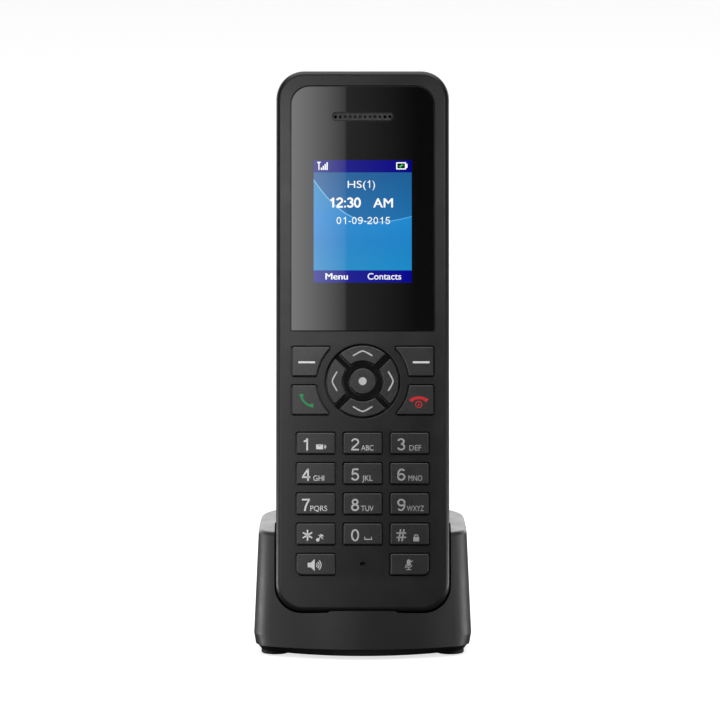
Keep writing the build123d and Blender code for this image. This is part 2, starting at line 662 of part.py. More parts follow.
def cradle_level(height, inset=0.0):
    """Outline of the cradle cover at one height; the front leans, the sides draw in."""
    share = (height - COVER_SEAM) / (CRADLE_HEIGHT - COVER_SEAM)
    half = CRADLE_HALF_BOTTOM + share * (CRADLE_HALF_TOP - CRADLE_HALF_BOTTOM)
    front = front_y + (height - COVER_SEAM) * tan(radians(LEAN))
    rear = front_y + CRADLE_DEPTH - share * CRADLE_REAR_LEAN
    return cradle_outline(height, half, front, rear, FRONT_BOW, inset=inset)


def pocket_block(grow, floor_drop):
    """The slot that takes the lower end of the handset, in the handset frame."""
    half = pocket_half + grow
    height = 2 * CRADLE_HEIGHT
    bottom = -POCKET_GAP - floor_drop
    face = Pos(0, bottom + height / 2) * Rectangle(2 * half, height)
    face = fillet(face.vertices().sort_by(Axis.Y)[:2], POCKET_CORNER + grow)
    slot = slab(face, -CRADLE_DEPTH / 2, HANDSET_DEPTH + POCKET_GAP + grow)
    return fillet(slot.edges().group_by(Axis.Y)[-1], POCKET_BACK_CORNER)


def make_cradle_housing():
    """Cradle cover: leaning bowed front, two arms beside the handset, open slot."""
    foot_edge = cradle_outline(COVER_SEAM, CRADLE_HALF_BOTTOM - CRADLE_FOOT_INSET, front_y,
                               front_y + CRADLE_DEPTH, FRONT_BOW)
    waist = cradle_level(COVER_SEAM + CRADLE_FOOT_RISE)
    outer = loft([waist, cradle_level(CRADLE_HEIGHT)], ruled=True)
    outer = fillet(outer.edges().group_by(Axis.Z)[-1], CRADLE_EDGE_ROUND)
    outer += loft([foot_edge, waist], ruled=True)
    inner = loft([cradle_level(COVER_SEAM, CRADLE_WALL),
                  cradle_level(CRADLE_HEIGHT - CRADLE_WALL, CRADLE_WALL)], ruled=True)
    keep = handset_place * block((-CRADLE_DEPTH, CRADLE_DEPTH),
                                 (-CRADLE_DEPTH, HANDSET_DEPTH + POCKET_GAP + POCKET_FLOOR),
                                 (-POCKET_GAP - POCKET_FLOOR, 3 * CRADLE_HEIGHT))
    shell = outer - (inner - keep)
    shell -= handset_place * pocket_block(0, 0)
    half = LIP_STEP_WIDTH / 2
    root = -POCKET_GAP - LIP_STEP_HEIGHT
    crest = -POCKET_GAP + LIP_STEP_HEIGHT
    step = make_face(Polyline((-half, root), (half, root), (half, -POCKET_GAP),
                              (half - LIP_STEP_RAMP, crest), (LIP_STEP_RAMP - half, crest),
                              (-half, -POCKET_GAP), close=True))
    shell += (handset_place * slab(step, -2 * LIP_THICKNESS, -0.3)) & outer
    width, depth, height = REST_RIB_SIZE
    rib = block((REST_RIB_X - width / 2, REST_RIB_X + width / 2), (REST_RIB_FRONT, REST_RIB_FRONT + depth),
                (-POCKET_GAP - height, height - POCKET_GAP))
    shell += handset_place * both(rib)
    for x, y in PLATE_SCREW_SPOTS:
        hole_top = PLATE_SCREW_TIP + 0.3
        boss_top = CRADLE_HEIGHT - CRADLE_WALL if y > CRADLE_DEPTH / 2 else hole_top + 0.3
        shell += post(x, front_y + y, PLATE_BOSS_RADIUS, COVER_SEAM, boss_top) & outer
        shell -= post(x, front_y + y, SCREW_RADIUS + FIT_GAP, COVER_SEAM, hole_top)
    for side in (-1, 1):
        pin_hole = Pos(side * PIN_X, PIN_DEPTH, -POCKET_GAP - POCKET_FLOOR)
        shell -= handset_place * pin_hole * Cylinder(PIN_RADIUS + 0.2, 3 * POCKET_FLOOR)
    inlet_z = CRADLE_BOARD_BOTTOM + CRADLE_BOARD[2]
    half = INLET_SIZE[0] / 2 + INLET_GAP
    rear = front_y + CRADLE_DEPTH
    shell -= block((-half, half), (rear - 2 * CRADLE_WALL, rear + 1),
                   (inlet_z - INLET_GAP, inlet_z + INLET_SIZE[2] + INLET_GAP))
    return shell


def make_base_plate():
    """Bottom plate with a bevelled rim and countersunk screw holes."""
    top = cradle_outline(COVER_SEAM, CRADLE_HALF_BOTTOM - CRADLE_FOOT_INSET, front_y,
                         front_y + CRADLE_DEPTH, FRONT_BOW, inset=PLATE_INSET)
    bottom = cradle_outline(PLATE_BOTTOM, CRADLE_HALF_BOTTOM - PLATE_BEVEL, front_y + PLATE_INSET,
                            front_y + CRADLE_DEPTH - PLATE_BEVEL, BASE_BOW)
    plate = loft([bottom, top], ruled=True)
    for x, y in PLATE_SCREW_SPOTS:
        plate -= post(x, front_y + y, SCREW_RADIUS + 0.2, PLATE_BOTTOM, COVER_SEAM)
        plate -= post(x, front_y + y, PLATE_SCREW_HEAD + 0.2, PLATE_BOTTOM, PLATE_BOTTOM + 1.0)
    return plate


def make_foot(spot):
    """Round rubber foot with a soft lower edge."""
    foot = post(spot[0], front_y + spot[1], FOOT_RADIUS, 0, PLATE_BOTTOM)
    return fillet(foot.edges().group_by(Axis.Z)[0], 0.4)


def make_cradle_screws():
    """Four screws that hold the bottom plate."""
    screws = []
    for x, y in PLATE_SCREW_SPOTS:
        screw = post(x, front_y + y, SCREW_RADIUS, PLATE_BOTTOM + 0.3, PLATE_SCREW_TIP)
        screw += post(x, front_y + y, PLATE_SCREW_HEAD, PLATE_BOTTOM + 0.1, PLATE_BOTTOM + 1.0)
        for size in ((2.6, 0.6), (0.6, 2.6)):
            screw -= Pos(x, front_y + y, PLATE_BOTTOM) * Box(size[0], size[1], 1.2)
        screws.append(screw)
    return Compound(screws)


def make_cradle_board():
    """Small charging board under the slot, with a few parts on it."""
    width, depth, thickness = CRADLE_BOARD
    start = front_y + CRADLE_BOARD_FRONT
    board = block((-width / 2, width / 2), (start, start + depth),
                  (CRADLE_BOARD_BOTTOM, CRADLE_BOARD_BOTTOM + thickness))
    top = CRADLE_BOARD_BOTTOM + thickness
    for x, y, part_width, part_depth in ((-6, 44, 5, 5), (6, 47, 4, 6)):
        board += block((x - part_width / 2, x + part_width / 2),
                       (front_y + y - part_depth / 2, front_y + y + part_depth / 2), (top - 0.2, top + 1.6))
    return board


def make_usb_inlet():
    """Power inlet: a small metal socket at the rear edge of the board."""
    width, depth, height = INLET_SIZE
    rear = front_y + CRADLE_DEPTH - 0.6
    bottom = CRADLE_BOARD_BOTTOM + CRADLE_BOARD[2]
    body = block((-width / 2, width / 2), (rear - depth, rear), (bottom, bottom + height))
    body = fillet(body.edges().filter_by(Axis.Y), 0.5)
    mouth = block((SHEET - width / 2, width / 2 - SHEET), (rear - depth + 2 * SHEET, rear),
                  (bottom + SHEET, bottom + height - SHEET))
    tongue = block((-width * 0.3, width * 0.3), (rear - depth + SHEET, rear - 2 * SHEET),
                   (bottom + height * 0.55, bottom + height * 0.75))
    return body - mouth + tongue


def make_pin_block():
    """Plastic block that guides the two charge pins; its foot stands on the board."""
    reach = PIN_BORE_RADIUS + PIN_BLOCK_WALL
    body = block((-PIN_X - reach, PIN_X + reach), (PIN_DEPTH - reach, PIN_DEPTH + reach),
                 (2 * SPRING_BOTTOM, PIN_BLOCK_TOP))
    for side in (-1, 1):
        x = side * PIN_X
        middle = (SPRING_BOTTOM + PIN_BLOCK_TOP) / 2
        body -= Pos(x, PIN_DEPTH, middle) * Cylinder(PIN_BORE_RADIUS, PIN_BLOCK_TOP - SPRING_BOTTOM)
    board_top = CRADLE_BOARD_BOTTOM + CRADLE_BOARD[2]
    above = block((-CRADLE_DEPTH, CRADLE_DEPTH), (-CRADLE_DEPTH, CRADLE_DEPTH), (board_top, CRADLE_HEIGHT))
    return (handset_place * body) & above


def make_charge_pin(side):
    """Sprung charge pin with a domed tip and a stop flange."""
    pin = post(0, 0, PIN_RADIUS, PIN_TAIL, PIN_TOP)
    pin = fillet(pin.edges().group_by(Axis.Z)[-1], 0.8)
    pin += post(0, 0, PIN_FLANGE_RADIUS, PIN_FLANGE_BOTTOM, PIN_FLANGE_TOP)
    return Pos(side * PIN_X, PIN_DEPTH, 0) * pin


def make_charge_spring(side):
    """Coil spring under the flange of a charge pin."""
    height = PIN_FLANGE_BOTTOM - SPRING_BOTTOM - 0.2 - 2 * SPRING_WIRE
    spring = coil(SPRING_RADIUS, SPRING_WIRE, height / SPRING_TURNS, height)
    return Pos(side * PIN_X, PIN_DEPTH, SPRING_BOTTOM + 0.1) * spring


# ----------------------------------------------------------------- write it all
handset_parts = {
    "front_housing": make_front_housing(),
    "rear_housing": make_rear_housing(),
    "battery_cover": make_battery_cover(),
    "display_lens": slab(lens_outline() - ear_slot(), LENS_FRONT, LENS_BACK),
    "earpiece_mesh": make_earpiece_mesh(),
    "earpiece_speaker": make_earpiece_speaker(),
    "display_panel": slab(screen_outline(PANEL_MARGIN), PANEL_FRONT, PANEL_BACK),
    "display_holder": slab(screen_outline(PANEL_MARGIN + HOLDER_WALL) - screen_outline(PANEL_MARGIN + 0.1),
                           PANEL_FRONT, BOARD_FRONT),
    "main_board": make_main_board(),
    "key_domes": make_key_domes(),
    "keypad_mat": make_keypad_mat(),
    "rf_shield": make_rf_shield(),
    "antenna": make_antenna(),
    "loudspeaker": make_loudspeaker(),
    "microphone": make_microphone(),
    "headset_jack": make_headset_jack(),
    "battery_cell_left": make_cell(-1),
    "battery_cell_right": make_cell(1),
    "battery_springs": make_battery_springs(),
    "battery_plates": make_battery_plates(),
    "handset_screws": make_handset_screws(),
    "charge_contacts": make_charge_contacts(),
    "charge_pin_left": make_charge_pin(-1),
    "charge_pin_right": make_charge_pin(1),
    "charge_spring_left": make_charge_spring(-1),
    "charge_spring_right": make_charge_spring(1),
}
for name, shape in handset_parts.items():
    save(name, shape, handset_place)
for name, outline in keys.items():
    save(name, make_key(outline), handset_place)

save("cradle_housing", make_cradle_housing())
save("cradle_base_plate", make_base_plate())
save("cradle_screws", make_cradle_screws())
save("cradle_board", make_cradle_board())
save("usb_inlet", make_usb_inlet())
save("charge_pin_block", make_pin_block())
for name, spot in FOOT_SPOTS.items():
    save(f"foot_{name}", make_foot(spot))
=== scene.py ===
import json
import math

import bmesh
import bpy
from mathutils import Matrix, Vector


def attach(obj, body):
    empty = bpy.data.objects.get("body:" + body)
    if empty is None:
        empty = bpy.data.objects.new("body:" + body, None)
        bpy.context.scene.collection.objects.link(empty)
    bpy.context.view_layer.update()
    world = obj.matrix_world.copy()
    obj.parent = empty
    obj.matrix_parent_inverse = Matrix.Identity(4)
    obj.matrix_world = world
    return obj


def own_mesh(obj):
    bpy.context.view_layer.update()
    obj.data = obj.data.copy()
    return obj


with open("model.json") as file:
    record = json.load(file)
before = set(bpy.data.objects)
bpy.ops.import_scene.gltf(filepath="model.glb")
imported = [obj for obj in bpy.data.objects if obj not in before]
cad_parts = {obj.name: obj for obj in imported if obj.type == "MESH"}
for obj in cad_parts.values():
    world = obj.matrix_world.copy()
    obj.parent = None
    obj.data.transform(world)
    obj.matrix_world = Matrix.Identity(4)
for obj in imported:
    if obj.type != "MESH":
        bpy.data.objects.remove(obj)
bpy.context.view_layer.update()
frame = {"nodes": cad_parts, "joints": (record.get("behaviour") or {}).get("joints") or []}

# --------------------------------------------------------------------------
# Handset face frame. Details on the handset are drawn in millimetres as
# (u, v, w): u to the right, v up along the handset, w out of the front face.
# --------------------------------------------------------------------------
MM = 0.001
AXES = {joint["name"]: Vector(joint["axis"]).normalized() for joint in frame["joints"]}
RIGHT = Vector((1, 0, 0))
UP = AXES["handset_lift"]
INWARD = AXES["key_5_press"]


def extent(node, axis):
    """Lowest and highest reach of a CAD node along an axis, in metres."""
    values = [vertex.co.dot(axis) for vertex in frame["nodes"][node].data.vertices]
    return min(values), max(values)


FACE_ORIGIN = INWARD * extent("front_housing", INWARD)[0] + UP * extent("front_housing", UP)[0]
FACE = Matrix((RIGHT, UP, -INWARD)).transposed().to_4x4()
FACE = Matrix.Translation(FACE_ORIGIN) @ FACE @ Matrix.Scale(MM, 4)
FACE_LEVEL = FACE_ORIGIN.dot(UP)
FACE_FRONT = FACE_ORIGIN.dot(INWARD)


def face_box(node):
    """(u low, u high, v low, v high, w high) of a CAD node, in face millimetres."""
    across = extent(node, RIGHT)
    along = [value - FACE_LEVEL for value in extent(node, UP)]
    out = FACE_FRONT - extent(node, INWARD)[0]
    return [value / MM for value in (*across, *along, out)]


def key_place(name):
    """Centre of a key on the face and the level of its top, in face millimetres."""
    low_u, high_u, low_v, high_v, top = face_box(name)
    return (low_u + high_u) / 2, (low_v + high_v) / 2, top


# --------------------------------------------------------------------------
# Materials
# --------------------------------------------------------------------------
NOISE_LOW, NOISE_HIGH = 0.3, 0.7     # a noise's values lie mostly between these


class Nodes:
    """A small helper that adds shader nodes and links them."""

    def __init__(self, name):
        self.material = bpy.data.materials.new(name)
        self.material.use_nodes = True
        self.tree = self.material.node_tree
        self.shader = self.tree.nodes["Principled BSDF"]

    def add(self, kind, inputs=(), **settings):
        node = self.tree.nodes.new(kind)
        for key, value in settings.items():
            setattr(node, key, value)
        for socket, value in dict(inputs).items():
            if isinstance(value, bpy.types.NodeSocket):
                self.tree.links.new(value, node.inputs[socket])
            else:
                node.inputs[socket].default_value = value
        return node

    def link(self, output, socket):
        self.tree.links.new(output, self.shader.inputs[socket])

    def place(self):
        return self.add("ShaderNodeTexCoord").outputs["Object"]

    def noise(self, scale, detail=2.0):
        inputs = {"Vector": self.place(), "Scale": scale, "Detail": detail}
        return self.add("ShaderNodeTexNoise", inputs).outputs["Fac"]

    def ramp(self, value, stops):
        node = self.add("ShaderNodeValToRGB", {"Fac": value})
        points = node.color_ramp.elements
        while len(points) < len(stops):
            points.new(0.5)
        for point, (position, colour) in zip(points, stops):
            point.position = position
            point.color = (*colour, 1)
        return node.outputs["Color"]

    def remap(self, value, low, high, start=0.0, end=1.0):
        inputs = {"Value": value, "From Min": start, "From Max": end, "To Min": low, "To Max": high}
        return self.add("ShaderNodeMapRange", inputs).outputs["Result"]

    def calc(self, operation, first, second=0.0):
        return self.add("ShaderNodeMath", {0: first, 1: second}, operation=operation).outputs[0]

    def two_tones(self, noise, dark, light):
        return self.ramp(noise, [(NOISE_LOW, dark), (NOISE_HIGH, light)])

    def uneven(self, noise, middle, spread):
        return self.remap(noise, middle - spread, middle + spread, NOISE_LOW, NOISE_HIGH)

    def bump(self, height, strength, distance):
        inputs = {"Height": height, "Strength": strength, "Distance": distance}
        self.link(self.add("ShaderNodeBump", inputs).outputs["Normal"], "Normal")


def grey(level):
    """A neutral colour of one level."""
    return (level, level, level)


TONE_SCALE, GLOSS_SCALE, GRAIN_SCALE = 45, 160, 2600
GRAIN_STRENGTH, GRAIN_DEPTH = 0.35, 0.00003
GLOSS_SPREAD = 0.035


def moulded_plastic(name, dark, light, rough, grain=GRAIN_SCALE, shine=0.5):
    """Satin moulded plastic: spark-eroded grain, slow tone and gloss variation."""
    m = Nodes(name)
    m.shader.inputs["Specular IOR Level"].default_value = shine
    m.link(m.two_tones(m.noise(TONE_SCALE, 3), dark, light), "Base Color")
    m.link(m.uneven(m.noise(GLOSS_SCALE, 4), rough, GLOSS_SPREAD), "Roughness")
    m.bump(m.noise(grain, 2), GRAIN_STRENGTH, GRAIN_DEPTH)
    return m.material


HOUSING_TONES = (grey(0.0075), grey(0.0095))
HOUSING_ROUGH = 0.31
KEY_TONES = (grey(0.019), grey(0.023))
KEY_ROUGH, KEY_GRAIN, KEY_SHINE = 0.28, 2200, 0.62

# Painted shade on the front housing, sizes in face millimetres: the webs between the number keys and the
# sunk well round the arrow keys are darkened.
SHADE_TONE = (*grey(0.0012), 1)
WELL_RADIUS, WELL_FADE = 11.3, 0.25
WELL_FROM, WELL_TO = 0.1, 0.3
WELL_ROUGH = 0.95
PAD_SHARE = 0.75
PAD_HALF, PAD_HALF_FADE = 20.5, 3
PAD_LOW, PAD_LOW_FADE = 12, 3
PAD_HIGH, PAD_HIGH_FADE = 80, 2


def well_painted_shade_mask(m, across, along, deep):
    """Mask of painted shade: 1 in the sunk ring round the arrow keys, 0 elsewhere."""
    _, centre_v, _ = key_place("nav_select")
    rise = m.calc("ABSOLUTE", m.calc("SUBTRACT", along, FACE_LEVEL + centre_v * MM))
    squares = [m.calc("POWER", value, 2.0) for value in (across, rise)]
    radius = m.calc("SQRT", m.calc("ADD", *squares))
    ring = m.remap(radius, 1.0, 0.0, WELL_RADIUS * MM, (WELL_RADIUS + WELL_FADE) * MM)
    sunk = m.remap(deep, 0.0, 1.0, FACE_FRONT + WELL_FROM * MM, FACE_FRONT + WELL_TO * MM)
    return m.calc("MULTIPLY", ring, sunk)


def pad_painted_shade_mask(m, across, along):
    """Mask of painted shade: PAD_SHARE over the number pad, fading to 0 outside it."""
    low, high = FACE_LEVEL + PAD_LOW * MM, FACE_LEVEL + PAD_HIGH * MM
    side = m.remap(across, 1.0, 0.0, PAD_HALF * MM, (PAD_HALF + PAD_HALF_FADE) * MM)
    above_foot = m.remap(along, 0.0, 1.0, low - PAD_LOW_FADE * MM, low)
    below_head = m.remap(along, 1.0, 0.0, high, high + PAD_HIGH_FADE * MM)
    mask = m.calc("MULTIPLY", m.calc("MULTIPLY", side, above_foot), below_head)
    return m.calc("MULTIPLY", mask, PAD_SHARE)


def front_plastic():
    """The handset plastic, with painted shade: the well round the arrow keys and the webs of the number pad
    are darker.
    """
    m = Nodes("front_black_painted_shade")
    place = m.place()
    along, deep = (m.add("ShaderNodeVectorMath", {0: place, 1: tuple(axis)},
                         operation="DOT_PRODUCT").outputs["Value"]
                   for axis in (UP, INWARD))
    across = m.calc("ABSOLUTE", m.add("ShaderNodeSeparateXYZ", {0: place}).outputs["X"])
    well = well_painted_shade_mask(m, across, along, deep)
    # painted shade: the housing colour is mixed towards SHADE_TONE over the number pad and in the well
    dark = m.calc("MAXIMUM", pad_painted_shade_mask(m, across, along), well)
    base = m.two_tones(m.noise(TONE_SCALE, 3), *HOUSING_TONES)
    mix = m.add("ShaderNodeMix", {"Factor": dark, 6: base, 7: SHADE_TONE}, data_type="RGBA")
    m.link(mix.outputs[2], "Base Color")
    gloss = m.uneven(m.noise(GLOSS_SCALE, 4), HOUSING_ROUGH, GLOSS_SPREAD)
    rough = m.add("ShaderNodeMix", {"Factor": well, 2: gloss, 3: WELL_ROUGH})
    m.link(rough.outputs[0], "Roughness")
    m.bump(m.noise(GRAIN_SCALE, 2), GRAIN_STRENGTH, GRAIN_DEPTH)
    return m.material


def metal(name, dark, light, rough):
    """Bare or plated metal with fine mottling."""
    m = Nodes(name)
    marks = m.noise(900, 3)
    m.link(m.two_tones(marks, dark, light), "Base Color")
    m.link(m.uneven(marks, rough, 0.06), "Roughness")
    m.shader.inputs["Metallic"].default_value = 1.0
    m.bump(marks, 0.2, 0.00002)
    return m.material


def printed(name, colour):
    """Printed ink: a little uneven in tone, with a dull surface."""
    m = Nodes(name)
    spots = m.noise(1500, 3)
    low = tuple(0.9 * part for part in colour)
    m.link(m.two_tones(spots, low, colour), "Base Color")
    m.link(m.remap(spots, 0.45, 0.55), "Roughness")
    return m.material


HAZE_SCALE = 30
LENS_ROUGH, LENS_SPREAD = 0.025, 0.01


def polished_lens():
    """Clear window over black print: deep gloss with faint polishing haze."""
    m = Nodes("lens_black")
    haze = m.noise(HAZE_SCALE, 3)
    m.link(m.two_tones(haze, grey(0.003), grey(0.006)), "Base Color")
    m.link(m.uneven(haze, LENS_ROUGH, LENS_SPREAD), "Roughness")
    return m.material


def lit(name, stops, direction, start, end):
    """Lit display area under the window: a colour gradient along a direction, same gloss as the lens."""
    m = Nodes(name)
    inputs = {0: m.place(), 1: tuple(direction)}
    along = m.add("ShaderNodeVectorMath", inputs, operation="DOT_PRODUCT").outputs["Value"]
    share = m.remap(along, 0.0, 1.0, start, end)
    colour = m.ramp(share, stops)
    m.link(colour, "Emission Color")
    m.shader.inputs["Emission Strength"].default_value = 1.0
    m.shader.inputs["Base Color"].default_value = (0, 0, 0, 1)
    m.link(m.uneven(m.noise(HAZE_SCALE, 3), LENS_ROUGH, LENS_SPREAD), "Roughness")
    return m.material


def circuit_board():
    """Green solder mask with darker copper tracks under it."""
    m = Nodes("solder_mask")
    tracks = m.add("ShaderNodeTexVoronoi", {"Vector": m.place(), "Scale": 420}, distance="CHEBYCHEV")
    greens = [(0.35, (0.01, 0.1, 0.04)), (0.55, (0.02, 0.2, 0.08))]
    m.link(m.ramp(tracks.outputs["Distance"], greens), "Base Color")
    m.link(m.remap(m.noise(300), 0.25, 0.4), "Roughness")
    return m.material


def sleeve(name, colour):
    """Shrink sleeve of a cell: glossy film with faint ripples."""
    m = Nodes(name)
    ripple = m.noise(260, 2)
    low = tuple(0.75 * part for part in colour)
    m.link(m.two_tones(ripple, low, colour), "Base Color")
    m.link(m.remap(ripple, 0.18, 0.3), "Roughness")
    m.bump(ripple, 0.2, 0.00005)
    return m.material


FRONT_BLACK = front_plastic()
BLACK = moulded_plastic("handset_black", *HOUSING_TONES, HOUSING_ROUGH)
CRADLE_BLACK = moulded_plastic("cradle_black", grey(0.008), grey(0.0105), 0.4)
KEY_BLACK = moulded_plastic("key_black", *KEY_TONES, KEY_ROUGH, KEY_GRAIN, KEY_SHINE)
INNER_BLACK = moulded_plastic("inner_black", grey(0.02), grey(0.03), 0.5)
LENS = polished_lens()
MESH_BLACK = metal("mesh_black", grey(0.05), grey(0.085), 0.5)
STEEL = metal("steel", grey(0.5), grey(0.62), 0.3)
GOLD = metal("gold_plate", (0.75, 0.5, 0.18), (0.9, 0.64, 0.28), 0.22)
CAPSULE = metal("capsule_metal", grey(0.22), grey(0.3), 0.35)
SILICONE = moulded_plastic("silicone_grey", grey(0.3), grey(0.36), 0.6)
RUBBER = moulded_plastic("foot_rubber", grey(0.012), grey(0.018), 0.75, grain=1800)
BOARD = circuit_board()
CELL = sleeve("cell_sleeve", (0.05, 0.3, 0.14))

NODE_MATERIALS = {
    "front_housing": FRONT_BLACK, "rear_housing": BLACK, "battery_cover": BLACK, "display_lens": LENS,
    "earpiece_mesh": MESH_BLACK, "earpiece_speaker": INNER_BLACK,
    "loudspeaker": CAPSULE, "microphone": INNER_BLACK,
    "display_panel": CAPSULE, "display_holder": INNER_BLACK, "headset_jack": INNER_BLACK,
    "charge_pin_block": INNER_BLACK, "main_board": BOARD, "cradle_board": BOARD, "key_domes": STEEL,
    "battery_springs": STEEL, "battery_plates": STEEL, "charge_spring_left": STEEL,
    "charge_spring_right": STEEL, "rf_shield": STEEL, "handset_screws": STEEL, "cradle_screws": STEEL,
    "usb_inlet": STEEL, "keypad_mat": SILICONE, "antenna": GOLD, "charge_contacts": GOLD,
    "charge_pin_left": GOLD, "charge_pin_right": GOLD, "battery_cell_left": CELL,
    "battery_cell_right": CELL, "cradle_housing": CRADLE_BLACK, "cradle_base_plate": CRADLE_BLACK,
    "foot_front_left": RUBBER, "foot_front_right": RUBBER, "foot_rear_left": RUBBER,
    "foot_rear_right": RUBBER,
}
for node, piece in frame["nodes"].items():
    material = NODE_MATERIALS.get(node, KEY_BLACK)
    piece.data.materials.clear()
    piece.data.materials.append(material)

# --------------------------------------------------------------------------
# Thin printed and lit pieces, built as small prisms in the face frame
# --------------------------------------------------------------------------
INK = 0.025


def prism(mesh, loop, low, high):
    """Adds a closed prism over a counter-clockwise outline, from w low to w high."""
    floor = [mesh.verts.new((u, v, low)) for u, v in loop]
    roof = [mesh.verts.new((u, v, high)) for u, v in loop]
    mesh.faces.new(roof)
    mesh.faces.new(floor[::-1])
    for index in range(len(loop)):
        after = (index + 1) % len(loop)
        mesh.faces.new((floor[index], floor[after], roof[after], roof[index]))


def arc(u, v, radius, start, end, steps=16, squash=1.0):
    """Points on an arc, angles in degrees, counter-clockwise from the right."""
    points = []
    for step in range(steps + 1):
        angle = math.radians(start + (end - start) * step / steps)
        points.append((u + radius * math.cos(angle), v + squash * radius * math.sin(angle)))
    return points


SWELL_START, SWELL_LENGTH, SWELL_CURVE = 0.55, 0.45, 0.7


def ribbon(mesh, points, width, low, high, end_width=None, closed=False):
    """Adds a pen stroke along points; it may swell from the middle towards both ends."""
    rows = []
    last = len(points) - 1
    for index, point in enumerate(points):
        before = Vector(points[index - 1 if closed else max(index - 1, 0)])
        after = Vector(points[(index + 1) % len(points) if closed else min(index + 1, last)])
        along = (after - before).normalized()
        side = Vector((-along.y, along.x))
        half = width / 2
        if end_width:
            share = abs(2 * index / last - 1)
            swell = max(0.0, (share - SWELL_START) / SWELL_LENGTH) ** SWELL_CURVE
            half += (end_width - width) / 2 * swell
        edges = [Vector(point) + side * half, Vector(point) - side * half]
        rows.append([mesh.verts.new((*edge, level)) for edge in edges for level in (low, high)])
    steps = len(points) if closed else last
    for index in range(steps):
        left_low, left_high, right_low, right_high = rows[index]
        next_left_low, next_left_high, next_right_low, next_right_high = rows[(index + 1) % len(rows)]
        mesh.faces.new((left_high, right_high, next_right_high, next_left_high))
        mesh.faces.new((left_low, next_left_low, next_right_low, right_low))
        mesh.faces.new((left_low, left_high, next_left_high, next_left_low))
        mesh.faces.new((right_low, next_right_low, next_right_high, right_high))
    if not closed:
        for left_low, left_high, right_low, right_high in (rows[0], rows[-1]):
            mesh.faces.new((left_low, right_low, right_high, left_high))


def circle(u, v, radius, steps=28):
    """Outline of a circle."""
    return arc(u, v, radius, 0, 360 - 360 / steps, steps - 1)


def rectangle(u, v, width, height):
    """Outline of an upright rectangle about its middle."""
    return [(u - width / 2, v - height / 2), (u + width / 2, v - height / 2),
            (u + width / 2, v + height / 2), (u - width / 2, v + height / 2)]


def moved(loop, u, v, turn=0.0):
    """The outline turned about its origin, then shifted."""
    c, s = math.cos(math.radians(turn)), math.sin(math.radians(turn))
    return [(u + c * x - s * y, v + s * x + c * y) for x, y in loop]


def bow(u, v, width, height, start, end, steps=14):
    """Points on an elliptical arc, angles in degrees; the arc may run either way."""
    turns = [math.radians(start + (end - start) * step / steps) for step in range(steps + 1)]
    return [(u + width * math.cos(turn), v + height * math.sin(turn)) for turn in turns]


def digit_strokes(digit):
    """Pen strokes of a grotesque numeral one unit high and about two thirds wide."""
    if digit == "0":
        return [bow(0.33, 0.5, 0.26, 0.433, 0, 350, 27)]
    if digit == "1":
        return [[(0.42, 0.0), (0.42, 1.0)], [(0.14, 0.74), (0.28, 0.77), (0.37, 0.86), (0.41, 0.97)]]
    if digit == "2":
        hook = bow(0.33, 0.7, 0.26, 0.233, 170, -35) + [(0.13, 0.2), (0.08, 0.07)]
        return [hook, [(0.01, 0.067), (0.64, 0.067)]]
    if digit == "3":
        return [bow(0.31, 0.745, 0.235, 0.19, 165, -90), bow(0.32, 0.29, 0.265, 0.225, 95, -165)]
    if digit == "4":
        return [[(0.5, 0.97), (0.05, 0.31)], [(0.0, 0.29), (0.67, 0.29)], [(0.49, 0.0), (0.49, 1.0)]]
    if digit == "5":
        bowl = [(0.09, 0.49)] + bow(0.32, 0.335, 0.27, 0.27, 140, -160)
        return [[(0.15, 0.933), (0.6, 0.933)], [(0.17, 0.95), (0.1, 0.49)], bowl]
    if digit == "6":
        back = bow(0.35, 0.755, 0.22, 0.178, 15, 90, 7) + bow(0.36, 0.45, 0.293, 0.483, 95, 180, 10)
        return [back + [(0.067, 0.33)], bow(0.33, 0.31, 0.262, 0.243, 0, 350, 25)]
    if digit == "7":
        return [[(0.0, 0.933), (0.63, 0.933)], [(0.59, 0.92), (0.4, 0.6), (0.28, 0.3), (0.23, 0.0)]]
    if digit == "8":
        return [bow(0.33, 0.745, 0.21, 0.19, 0, 350, 23), bow(0.33, 0.29, 0.262, 0.225, 0, 350, 25)]
    if digit == "9":
        return [[(0.66 - x, 1 - y) for x, y in points] for points in digit_strokes("6")]
    if digit == "-":
        return [[(0.03, 0.36), (0.33, 0.36)]]
    return [[(0.14, 0.0), (0.14, 0.17)], [(0.14, 0.53), (0.14, 0.7)]]


# widths as shares of the numeral's height
DIGIT_ADVANCE = 0.78
NARROW_ADVANCE = {"-": 0.45, ":": 0.36}
DIGIT_HALF = 0.33


def digits(mesh, text, height, u, baseline, low, high, pen, spread=1.0):
    """Adds numerals, starting at u; pen is the stroke width in millimetres."""
    for sign in text:
        for points in digit_strokes(sign):
            ring = sign in "0689" and len(points) > 20      # a closed bowl has the most points
            drawn = [(u + x * height, baseline + y * height) for x, y in points]
            ribbon(mesh, drawn, pen, low, high, closed=ring)
        u += NARROW_ADVANCE.get(sign, DIGIT_ADVANCE) * height * spread


CAP_SHARE = 0.729        # capital height of the built-in font at size 1


